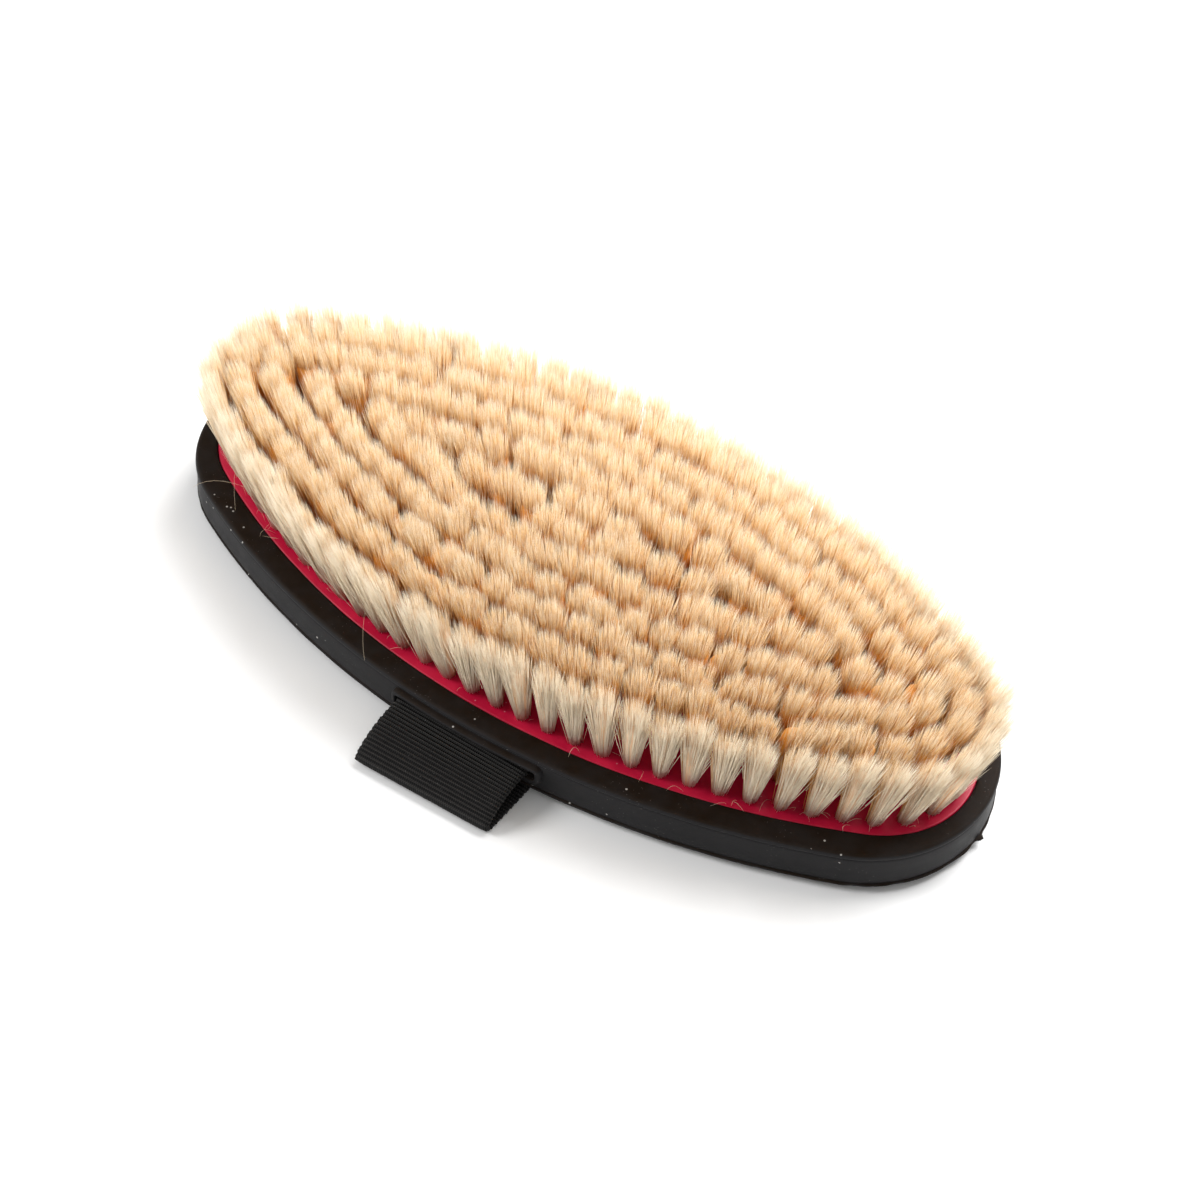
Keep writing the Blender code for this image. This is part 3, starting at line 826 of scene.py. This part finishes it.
def hairs_between(roots, tips, bow, width, tone, low, rng):
    """Tapered three-sided hairs that end in a point, each with one bend, and their map.

    low is how far up the hair the mesh starts: 0 at the root."""
    middle = (low + 1) / 2
    line = np.stack([roots + (tips - roots) * low, roots + (tips - roots) * middle + bow], 1)
    rings = hair_rings(line, (width * (1.15 - 0.35 * low), width * 0.9), rng)
    count = len(roots)
    verts = np.concatenate((rings.reshape(count, 6, 3), tips[:, None]), axis=1).reshape(-1, 3)
    base = (np.arange(count) * 7)[:, None, None]
    quads = base + np.array([(j, (j + 1) % 3, 3 + (j + 1) % 3, 3 + j) for j in range(3)])
    tris = base + np.array([(3, 4, 6), (4, 5, 6), (5, 3, 6), (2, 1, 0)])
    up = np.array([(low, low, middle, middle)] * 3)
    top = np.array([(middle, middle, 1.0)] * 3 + [(low, low, low + 0.004)])
    across = np.array([(j, j + 1, j + 1, j) for j in range(3)]) / 300
    point = np.array([(j, j + 1, j + 0.5) for j in range(3)] + [(0, 1, 2)]) / 300
    maps = (hair_map(tone, across, up), hair_map(tone, point, top))
    return verts, quads.reshape(-1, 4), tris.reshape(-1, 3), *maps


def hair_map(tone, across, up):
    u = np.clip(tone, 0, 0.98)[:, None, None] + across[None]
    return np.stack(np.broadcast_arrays(u, up[None]), -1).reshape(-1, 2)


def tuft_frame(s, tuft, rng):
    """A tuft's root, its lean for each metre of height, and its row's direction."""
    lean = np.array((s.fan_along * tuft.x, s.fan_across * tuft.y))
    lean = lean + LEAN_SCATTER * rng.normal(size=2)
    for bare, pull in BARE_SPOTS:
        away = np.array((bare - tuft.x, -tuft.y))
        lean += away * pull * math.exp(-(away @ away) / (BARE_REACH * MM) ** 2)
    along = np.array((tuft.along_x, tuft.along_y))
    return np.array((tuft.x, tuft.y)), lean, along, np.array((along[1], -along[0]))


def tuft_hairs(s, tuft, rng):
    """Roots, tips, bends and tones of one tuft's hairs, in a random order."""
    root, lean, along, across = tuft_frame(s, tuft, rng)
    n = s.long_hairs + s.short_hairs
    turn = rng.uniform(0, 2 * math.pi, n)
    out = np.abs(np.sqrt(rng.uniform(0, 1, n)) + 0.10 * rng.normal(size=n))
    q = np.column_stack((np.cos(turn), np.sin(turn))) * out[:, None]
    spread = np.array((s.spread_along, s.spread_across)) * rng.uniform(0.92, 1.08, 2)
    square = 1 + SQUARENESS * np.sin(2 * turn) ** 2
    fan = q * spread * square[:, None]
    if tuft.row >= RING_COUNT - 1:
        fan = fan * INNER_SPREAD
    clumps = rng.uniform(-1, 1, (CLUMPS, 2)) * spread
    nearest = np.argmin(np.linalg.norm(fan[:, None] - clumps[None], axis=2), axis=1)
    pull = rng.uniform(0.0, CLUMP_PULL, n)[:, None]
    fan += (clumps[nearest] - fan) * pull + rng.normal(size=(n, 2)) * TIP_SCATTER * MM
    stray = rng.uniform(0, 1, n) < STRAY_SHARE
    fan[stray] *= rng.uniform(1.1, 1.6, (stray.sum(), 1))
    start = root + (q[:, :1] * along + q[:, 1:] * across) * ROOT_RADIUS
    height = s.length / math.sqrt(1 + lean @ lean)
    over = (fan[:, :1] * along + fan[:, 1:] * across) + lean * height
    height *= 1.0 - CROWN * np.minimum(out, 1.2) ** 2 + 0.008 * rng.normal()
    height = height + (rng.normal(size=CLUMPS) * CLUMP_HEIGHT * MM)[nearest]
    height = height + rng.normal(size=n) * HEIGHT_SCATTER * MM
    height = height - rng.exponential(size=n) * HEIGHT_LOSS * MM
    height[stray] *= rng.uniform(0.8, 1.02, stray.sum())
    roots = np.column_stack((start, np.full(n, PLATE_Z - ROOT_DEPTH * MM)))
    tips = np.column_stack((root + over, PLATE_Z + height))
    bow = np.column_stack((rng.normal(size=(n, 2)) * BOW_SCATTER * MM, np.zeros(n)))
    bow[:, :2] -= (q[:, :1] * along + q[:, 1:] * across) * BOW_OUTWARD * MM
    tone = INNER_TONE if tuft.row > 0 else outer_tone(q, root, along, across)
    return roots, tips, bow, rng.normal(size=n) * TONE_SCATTER + tone


# A hair's place across the map: low for the painted light of the outer row, high for the painted
# shade of deep ones.
INNER_TONE, TONE_SCATTER = 0.62, 0.13


def outer_tone(q, root, along, across):
    """Low for the outer row's bristles that face outwards, which get the painted light, and higher
    for the ones behind, which get more painted shade.
    """
    outward = root / np.linalg.norm(root)
    facing = (q[:, :1] * along + q[:, 1:] * across) @ outward
    return 0.30 - 0.32 * facing


# The inside of a tuft: levels up its length, and its width there as a share of the tuft's.
CORE_LEVELS = (0.0, 0.30, 0.55, 0.70)
CORE_WIDTHS = {"inner": (0.9, 1.0, 1.05, 0.80), "outer": (0.88, 0.80, 0.72, 0.5)}
# Painted shade: each core is a solid inside its tuft that stands in for the hidden hairs. It is
# coloured with the deep shade from the map, fully for the inner rows and half way for the outer
# row.
CORE_SHADE_TONES = {"inner": 0.80, "outer": 0.45}
CORE_SIDES = 10


def shaded_tuft_core(s, tuft, rng):
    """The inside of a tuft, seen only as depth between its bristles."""
    root, lean, along, across = tuft_frame(s, tuft, rng)
    kind = "inner" if tuft.row > 0 else "outer"
    levels = np.array(CORE_LEVELS)
    angle = np.linspace(0, 2 * math.pi, CORE_SIDES, endpoint=False)
    rings = []
    spread = np.array((s.spread_along, s.spread_across))
    for t, part in zip(levels, CORE_WIDTHS[kind]):
        wide = (ROOT_RADIUS + (spread - ROOT_RADIUS) * t) * part
        flat = np.cos(angle)[:, None] * along * wide[0] + np.sin(angle)[:, None] * across * wide[1]
        flat += root + lean * s.length * t * 0.97
        height = PLATE_Z - ROOT_DEPTH * MM + s.length * t
        rings.append(np.column_stack((flat, np.full(CORE_SIDES, height))))
    quads = grid_quads(len(levels), CORE_SIDES, close_columns=True)
    fan = np.array([(0, j + 1, j) for j in range(1, CORE_SIDES - 1)])
    lids = np.vstack((fan, (len(levels) - 1) * CORE_SIDES + fan[:, (0, 2, 1)]))
    # The core's place on the map gives it painted shade.
    tone = CORE_SHADE_TONES[kind]
    u = tone + np.array((0.0, 0.012, 0.012, 0.0))
    v = np.array([(a, a, b, b) for a, b in zip(levels, levels[1:])]) * 0.8
    v = np.repeat(v, CORE_SIDES, axis=0)
    quad_map = np.stack((np.broadcast_to(u, v.shape), v), -1).reshape(-1, 2)
    lid_v = np.repeat(((0.0, 0.004, 0.0), (0.42, 0.424, 0.42)), len(fan), axis=0)
    lid_u = np.broadcast_to(tone + np.array((0.0, 0.006, 0.012)), lid_v.shape)
    lid_map = np.stack((lid_u, lid_v), -1)
    return np.vstack(rings), quads, lids, quad_map, lid_map.reshape(-1, 2)


def tufts_mesh(s, name, tufts, rng):
    sets = []
    for tuft in tufts:
        roots, tips, bow, tone = tuft_hairs(s, tuft, rng)
        whole = s.long_hairs if tuft.row > 0 else s.long_hairs * OUTER_WHOLE
        for chosen, low in ((slice(None, whole), 0.0), (slice(whole, None), SHORT_START)):
            hairs = (part[chosen] for part in (roots, tips, bow))
            sets.append(hairs_between(*hairs, s.width, tone[chosen], low, rng))
        sets.append(shaded_tuft_core(s, tuft, rng))
    verts, quads, tris = joined([part[:3] for part in sets])
    uvs = np.vstack([part[3] for part in sets] + [part[4] for part in sets])
    return mesh_from(name, verts, quads, tris, uvs)


class BRUSH_OT_bristles(bpy.types.Operator):
    """Makes the tufts of cream bristles, one piece for each ring and one for the middle row"""

    bl_idname = "body_brush.bristles"
    bl_label = "Bristles"

    def execute(self, context):
        s = context.scene.brush_bristles
        mat = bristle_material(s)
        for row in range(RING_COUNT + 1):
            inner = row == RING_COUNT
            node = "tuft_row_centre" if inner else f"tuft_ring_{row + 1}"
            tufts = centre_places() if inner else ring_places(row)
            for part, chosen in self.shared_out(row, tufts):
                rng = np.random.default_rng(SEED + 10 + row + len(chosen))
                name = f"bristles_{part}"
                piece = new_object(name, tufts_mesh(s, name, chosen, rng), mat)
                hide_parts(node)
                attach(piece, BODY)
        return {"FINISHED"}

    def shared_out(self, row, tufts):
        """The pieces that a row is made in, as (name, tufts)."""
        if row == RING_COUNT:
            return [("centre_row", tufts)]
        name = f"ring_{row + 1}"
        near = [tuft for tuft in tufts if tuft.y < 0]
        far = [tuft for tuft in tufts if tuft.y >= 0]
        return [(name + "_near", near), (name + "_far", far)]


class BrushStrays(bpy.types.PropertyGroup):
    loose: Count("Loose hairs", "Hairs lying loose at the outer roots", 70)
    width: Length("Width", "Diameter of a loose hair", 0.07 * MM)


# Hairs caught on the brush: three points each, in millimetres.
CAUGHT = (
    ((-90.6, -29.0, 12.0), (-87.3, -24.9, 12.9), (-80.3, -22.3, 13.0)),
    ((-85.2, -19.6, 14.4), (-82.5, -23.5, 13.4), (-77.8, -28.7, 11.9)),
    ((-33.4, -35.6, 15.2), (-29.9, -41.2, 13.4), (-25.2, -46.6, 12.0)),
    ((33.0, 4.6, 35.0), (29.0, 0.5, 34.0), (24.0, -2.4, 34.6)),
    ((24.5, 5.5, 34.2), (28.0, 1.0, 33.0), (30.5, -4.8, 35.0)),
    ((36.0, -2.0, 35.1), (30.0, -0.6, 33.8), (23.5, 2.0, 34.8)),
    ((27.0, -5.5, 34.6), (28.2, 0.4, 32.4), (27.2, 5.4, 35.2)),
)


class BRUSH_OT_stray_hairs(bpy.types.Operator):
    """Adds the hairs that lie loose at the roots and cross the bare spot"""

    bl_idname = "body_brush.stray_hairs"
    bl_label = "Stray hairs"

    def execute(self, context):
        s = context.scene.brush_strays
        rng = np.random.default_rng(SEED + 40)
        paths = [self.bent(points, rng) for points in CAUGHT]
        line = OPENING_OVAL.offset(1.9 * MM).outline()
        for _ in range(s.loose):
            start = line[rng.integers(len(line))] + rng.normal(size=2) * 0.9 * MM
            turn = rng.uniform(0, 2 * math.pi)
            reach = rng.uniform(1.2, 4.0) * MM
            end = start + np.array((math.cos(turn), math.sin(turn))) * reach
            low = PLATE_Z + rng.uniform(0.10, 0.5) * MM
            middle = (start + end) / 2 + rng.normal(size=2) * 0.5 * MM
            points = ((*start, low), (*middle, low + rng.uniform(0.2, 1.6) * MM), (*end, low))
            paths.append(self.bent(np.array(points) / MM, rng))
        parts = []
        for path in paths:
            width = s.width / 2 * rng.uniform(0.7, 1.15)
            taper = np.array((0.6, 1.0, 1.0, 1.0, 1.0, 0.9, 0.6)) * width
            parts.append(tube(path, taper, 4))
        mat = Mat("Loose hair", (0.85, 0.72, 0.52))
        place = mat.place()
        base = mat.mix(mat.noise(place, 90.0), (0.88, 0.78, 0.60), (0.72, 0.52, 0.32))
        mat.set(Base_Color=base, Roughness=0.45)
        mesh = mesh_from("stray_hairs", *joined(parts))
        piece = new_object("stray_hairs", mesh, mat)
        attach(piece, BODY)
        return {"FINISHED"}

    def bent(self, points, rng):
        """Seven points along the curve through three, in metres."""
        first, middle, last = (np.array(p, float) * MM for p in points)
        t = np.linspace(0, 1, 7)[:, None]
        path = first * (1 - t) * (1 - 2 * t) + middle * 4 * t * (1 - t) + last * t * (2 * t - 1)
        return path + rng.normal(size=(7, 3)) * 0.03 * MM


# Hand strap ------------------------------------------------------------------

STRAP_X = (SPAN_LOW.x + SPAN_HIGH.x) / 2
WEBBING_WIDTH = SPAN_HIGH.x - SPAN_LOW.x
WEBBING_THICK = 1.4 * MM
SLOT_Z = RIM_Z - 4.5 * MM
SLOT_X = STRAP_X + 0.7 * MM
SLOT_LENGTH = WEBBING_WIDTH + 1.8 * MM
UNDER_Z = WEBBING_THICK / 2 + 0.05 * MM
MAP_LENGTH = 90.0 * MM


class BrushStrap(bpy.types.PropertyGroup):
    rib: Length("Rib", "Distance from one rib of the webbing to the next", 0.93 * MM)
    rib_depth: Length("Rib depth", "Depth of the grooves between ribs", 0.34 * MM)
    tooth: Length("Tooth", "Distance between the woven teeth along a rib", 0.51 * MM)
    colour: Colour("Colour", "Colour of the webbing", (0.0036, 0.0032, 0.0030))
    reach: Length("Fold reach", "How far the folded strap stands out from the side", 13.8 * MM)
    skew: Length("Skew", "How much more the fold's left end stands out", 1.5 * MM)


# A fold from the slot to the underside: shares of its reach, and of its height over the underside.
FOLD_SHAPE = (
    (0.00, 1.00),
    (0.24, 0.98),
    (0.48, 0.88),
    (0.72, 0.69),
    (0.91, 0.43),
    (1.00, 0.22),
    (0.97, 0.08),
    (0.86, 0.01),
    (0.72, 0.00),
    (0.50, 0.00),
)


def webbing_material(s, name, mapped=True):
    """The teeth of the weave are bumps, laid out on the map, or on X and Y without one."""
    mat = Mat(name, s.colour)
    girth = 2 * WEBBING_WIDTH + 2 * WEBBING_THICK
    if mapped:
        place = mat.uv("OFBake")
    else:
        place = mat.stretch(mat.place(), (1 / girth, 1 / MAP_LENGTH, 1.0))
    across, along = mat.part(place, 0), mat.part(place, 1)
    rib = along * (MAP_LENGTH / s.rib)
    row = rib.floor()
    odd = (row * 0.5).fract() * 2.0
    tooth = (across * (girth / s.tooth) + odd * 0.5) * (2 * math.pi)
    weave = tooth.sine() * 0.5 + 0.5
    fuzz = mat.noise(mat.stretch(place, (300.0, 420.0, 1.0)), 1.0, 3.0)
    # Painted light and shade: rib crests are painted up to twelve times the webbing's colour as a
    # highlight, and grooves at 0.4 of it as shade. This lies over the real weave of teeth and fuzz.
    rib_shine_and_shade = (rib * (2 * math.pi)).cosine() * 0.5 + 0.5
    light = rib_shine_and_shade * (weave * 0.85 + 0.15) * (fuzz * 0.9 + 0.45)
    pale = tuple(c * 12.0 for c in s.colour)
    base = mat.mix(light.ramp(0.15, 1.0), tuple(c * 0.4 for c in s.colour), pale)
    lint = mat.specks(mat.stretch(place, (70.0, 90.0, 1.0)), 1.0, 0.10) * (fuzz > 0.55)
    base = mat.mix(lint * 0.25, base, (0.5, 0.5, 0.5))
    mat.set(Base_Color=base, Roughness=0.50 + fuzz * 0.15, Specular_IOR_Level=0.22)
    mat.bump(weave * 0.9 + fuzz * 0.4, 0.00014, 0.9)
    return mat


def strap_line(s):
    """Distance out from the middle and height along one half, from under the middle to the slot."""
    start = HALF_WIDTH + 0.6 * MM
    drop = SLOT_Z - UNDER_Z
    fold = [(start + s.reach * out, UNDER_Z + drop * up) for out, up in FOLD_SHAPE]
    inside = [(HALF_WIDTH - 2.6 * MM, SLOT_Z), (HALF_WIDTH - 0.9 * MM, SLOT_Z)]
    path = inside + fold + [(y, UNDER_Z) for y in (start, 0.034, 0.017, 0.0)]
    points = np.array(path[::-1])
    before = np.vstack((2 * points[0] - points[1], points[:-1]))
    after = np.vstack((points[1:], 2 * points[-1] - points[-2]))
    tangent = (after - before) / 2
    t = np.linspace(0, 1, 60, endpoint=False)[:, None]
    a, b = 2 * t**3 - 3 * t**2 + 1, t**3 - 2 * t**2 + t
    c, d = 3 * t**2 - 2 * t**3, t**3 - t**2
    dense = [
        a * p + b * m + c * q + d * n
        for p, q, m, n in zip(points, points[1:], tangent, tangent[1:])
    ]
    dense = np.vstack(dense + [points[-1:]])
    walked = np.append(0.0, np.cumsum(np.linalg.norm(np.diff(dense, axis=0), axis=1)))
    steps = np.arange(0.0, walked[-1], s.rib / 6)
    return np.column_stack([np.interp(steps, walked, dense[:, k]) for k in (0, 1)]), steps


def strap_mesh(s, name, side, rng):
    """One half of the strap, ribbed on both faces, with its woven edges."""
    line, steps = strap_line(s)
    along = np.gradient(line, axis=0)
    along /= np.linalg.norm(along, axis=1)[:, None]
    outward = np.column_stack((along[:, 1], -along[:, 0]))
    half = WEBBING_WIDTH / 2
    flat = np.linspace(-1, 1, 27)
    cross = [(x, 1.0) for x in flat] + [(1.0, 0.0)]
    cross = np.array(cross + [(-x, -z) for x, z in cross])
    edge = np.abs(cross[:, 0]) ** 24
    rib = np.cos(2 * math.pi * steps / s.rib)
    ridge = np.sign(rib) * np.abs(rib) ** 0.7
    loops = 0.5 + 0.5 * np.cos(2 * math.pi * steps / (2.1 * s.rib))
    wobble = np.cumsum(rng.normal(size=len(steps))) * 0.004
    wobble -= np.linspace(0, wobble[-1], len(steps))
    x = cross[None, :, 0] * (half - 0.25 * MM)
    loop = 0.25 * MM * loops[:, None] * (1 - 0.4 * (cross[:, 1] != 0))
    x = x + np.sign(cross[:, 0]) * edge * loop
    x = x + (wobble[:, None] * 0.25 * MM) * np.abs(cross[:, 0])
    thick = WEBBING_THICK / 2 - s.rib_depth * (1 - ridge[:, None]) / 2
    thick = thick - edge * 0.18 * MM
    rise = cross[:, 1] * thick
    skew = np.clip((line[:, 0] - HALF_WIDTH) / s.reach, 0, 1) * s.skew
    y = line[:, :1] + outward[:, :1] * rise - skew[:, None] * x / (2 * half)
    z = line[:, 1:] + outward[:, 1:] * rise
    verts = np.stack((STRAP_X + x, np.broadcast_to(side * y, x.shape), z), -1).reshape(-1, 3)
    rows, columns = len(steps), len(cross)
    quads = grid_quads(rows, columns, close_columns=True)
    gaps = np.linalg.norm(np.diff(cross * (half, WEBBING_THICK / 2), axis=0), axis=1)
    gaps = np.append(gaps, WEBBING_THICK / 2)
    u = np.append(0.0, np.cumsum(gaps)) / gaps.sum()
    v = steps / MAP_LENGTH
    low, high = v[:-1, None], v[1:, None]
    at = [(u[:-1], low), (u[1:], low), (u[1:], high), (u[:-1], high)]
    corners = [np.stack(np.broadcast_arrays(*pair), -1) for pair in at]
    quad_map = np.stack(corners, 2).reshape(-1, 2)
    fan = np.array([(0, k + 1, k) for k in range(1, columns - 1)])
    last = (rows - 1) * columns + fan[:, ::-1]
    tri_map = np.tile(np.array(((0.0, 0.995), (0.01, 0.995), (0.0, 1.0))), (2 * len(fan), 1))
    return mesh_from(name, verts, quads, np.vstack((fan, last)), np.vstack((quad_map, tri_map)))


class BRUSH_OT_hand_strap(bpy.types.Operator):
    """Makes the webbing hand strap in two halves that run from the slots round the folds to under
    the back
    """

    bl_idname = "body_brush.hand_strap"
    bl_label = "Hand strap"

    def execute(self, context):
        s = context.scene.brush_strap
        mat = webbing_material(s, "Black webbing")
        stands_for = {
            "near": ("strap_fold_near", "strap_span"),
            "far": ("strap_fold_far",),
        }
        for side, name in ((-1, "near"), (1, "far")):
            rng = np.random.default_rng(SEED + 50 + side)
            mesh = strap_mesh(s, f"hand_strap_{name}", side, rng)
            half = new_object(f"hand_strap_{name}", mesh, mat)
            face_outwards(half)
            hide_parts(*stands_for[name])
            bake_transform(half)
        plain = webbing_material(s, "Black webbing tails", mapped=False)
        for name in ("strap_tail_near", "strap_tail_far"):
            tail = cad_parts[name]
            tail.data.materials.clear()
            tail.data.materials.append(plain.made)
        return {"FINISHED"}


class BrushScrews(bpy.types.PropertyGroup):
    colour: Colour("Colour", "Colour of the zinc plating", (0.60, 0.60, 0.57))
    roughness: Share("Roughness", "Roughness of the zinc plating", 0.34)


class BRUSH_OT_strap_screws(bpy.types.Operator):
    """Gives the four screws under the plate their zinc plating"""

    bl_idname = "body_brush.strap_screws"
    bl_label = "Strap screws"

    def execute(self, context):
        s = context.scene.brush_screws
        mat = Mat("Zinc plated steel", s.colour)
        cloud = mat.noise(mat.place(), 700.0, 3.0)
        mat.set(
            Base_Color=mat.mix(cloud, tuple(s.colour), tuple(c * 0.75 for c in s.colour)),
            Roughness=s.roughness + (cloud - 0.5) * 0.2,
            Metallic=1.0,
        )
        for name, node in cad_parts.items():
            if name.startswith("strap_screw_"):
                node.data.materials.clear()
                node.data.materials.append(mat.made)
        return {"FINISHED"}


# Studio ----------------------------------------------------------------------


class BrushStudio(bpy.types.PropertyGroup):
    sky: Number("Sky", "Strength of the white surroundings", 0.52)
    key: Number("Key light", "Power of the large soft lamp at the back right", 43.0)
    fill: Number("Front light", "Power of the soft lamp over the front left", 14.0)
    floor: Number("Floor", "Brightness of the white floor", 0.92)


def area_lamp(name, power, size, place, aim):
    lamp = bpy.data.lights.new(name, "AREA")
    lamp.shape = "DISK"
    lamp.size = size
    lamp.energy = power
    made = bpy.data.objects.new(name, lamp)
    bpy.context.scene.collection.objects.link(made)
    made.location = place
    made.rotation_euler = (Vector(aim) - Vector(place)).to_track_quat("-Z", "Y").to_euler()
    return made


# The camera's direction, height and tilt in degrees, its lens in millimetres, and its distance.
CAMERA_ANGLES = (32.90, 47.80, -3.40)
CAMERA_LENS, SENSOR_WIDTH = 74.58, 36.0
CAMERA_SHIFT = (0.0181, 0.0155)
CAMERA_DISTANCE = 0.57225


class BRUSH_OT_studio(bpy.types.Operator):
    """Makes the white floor, the soft lamps and the camera"""

    bl_idname = "body_brush.studio"
    bl_label = "Studio"

    def execute(self, context):
        s = context.scene.brush_studio
        scene = context.scene
        size = 6.0
        corners = [(-size, -size, 0), (size, -size, 0), (size, size, 0), (-size, size, 0)]
        paper = Mat("White paper", (0.9, 0.9, 0.9))
        paper.set(Base_Color=(s.floor,) * 3, Roughness=0.85, Specular_IOR_Level=0.1)
        mesh = mesh_from("floor", corners, [(0, 1, 2, 3)])
        mesh.materials.append(paper.made)
        floor = bpy.data.objects.new("floor", mesh)
        scene.collection.objects.link(floor)
        world = bpy.data.worlds.new("White room")
        world.use_nodes = True
        world.node_tree.nodes["Background"].inputs["Color"].default_value = (1.0, 0.995, 0.985, 1.0)
        world.node_tree.nodes["Background"].inputs["Strength"].default_value = s.sky
        scene.world = world
        area_lamp("key", s.key, 1.3, (0.20, 1.0, 1.25), (0, 0, 0))
        area_lamp("front", s.fill, 0.7, (-1.05, -0.7, 0.9), (0, 0, 0))
        self.add_camera(scene)
        scene.view_settings.view_transform = "Standard"
        return {"FINISHED"}

    def add_camera(self, scene):
        """Looks down on the near side of the brush, a little to its right, and slightly tilted."""
        azimuth, height, roll = (math.radians(degrees) for degrees in CAMERA_ANGLES)
        across = Vector((math.cos(azimuth), math.sin(azimuth), 0.0))
        level = Vector((math.sin(azimuth), -math.cos(azimuth), 0.0)) * math.cos(height)
        back = level + Vector((0.0, 0.0, math.sin(height)))
        upward = back.cross(across)
        turned = across * math.cos(roll) - upward * math.sin(roll)
        upward = across * math.sin(roll) + upward * math.cos(roll)
        camera = bpy.data.objects.new("camera", bpy.data.cameras.new("camera"))
        camera.data.lens = CAMERA_LENS
        camera.data.sensor_width = SENSOR_WIDTH
        camera.data.shift_x, camera.data.shift_y = CAMERA_SHIFT
        place = Vector((0, 0, BACK_Z)) + back * CAMERA_DISTANCE
        turn = Matrix((turned, upward, back)).transposed().to_4x4()
        camera.matrix_world = Matrix.Translation(place) @ turn
        scene.collection.objects.link(camera)
        scene.camera = camera


class BRUSH_PT_panel(bpy.types.Panel):
    """One button for each piece of the brush, and one for the studio"""

    bl_idname = "BRUSH_PT_panel"
    bl_label = "Body Brush"
    bl_space_type = "VIEW_3D"
    bl_region_type = "UI"
    bl_category = "Body Brush"

    def draw(self, context):
        for operator, settings in STEPS:
            box = self.layout.box()
            box.operator(operator.bl_idname)
            group = getattr(context.scene, settings)
            for name in group.__annotations__:
                box.prop(group, name)


STEPS = (
    (BRUSH_OT_rubber_body, "brush_rubber"),
    (BRUSH_OT_tuft_plate, "brush_plate"),
    (BRUSH_OT_bristles, "brush_bristles"),
    (BRUSH_OT_stray_hairs, "brush_strays"),
    (BRUSH_OT_hand_strap, "brush_strap"),
    (BRUSH_OT_strap_screws, "brush_screws"),
    (BRUSH_OT_studio, "brush_studio"),
)
SETTINGS = {
    "brush_rubber": BrushRubber,
    "brush_plate": BrushPlate,
    "brush_bristles": BrushBristles,
    "brush_strays": BrushStrays,
    "brush_strap": BrushStrap,
    "brush_screws": BrushScrews,
    "brush_studio": BrushStudio,
}


def register():
    for made in (*SETTINGS.values(), *(operator for operator, _ in STEPS), BRUSH_PT_panel):
        bpy.utils.register_class(made)
    for name, group in SETTINGS.items():
        setattr(bpy.types.Scene, name, PointerProperty(type=group))


def unregister():
    for name in SETTINGS:
        delattr(bpy.types.Scene, name)
    for made in (BRUSH_PT_panel, *(operator for operator, _ in STEPS), *SETTINGS.values()):
        bpy.utils.unregister_class(made)


def main():
    register()
    bpy.ops.body_brush.rubber_body()
    bpy.ops.body_brush.tuft_plate()
    bpy.ops.body_brush.bristles()
    bpy.ops.body_brush.stray_hairs()
    bpy.ops.body_brush.hand_strap()
    bpy.ops.body_brush.strap_screws()
    bpy.ops.body_brush.studio()


if __name__ == "__main__":
    main()
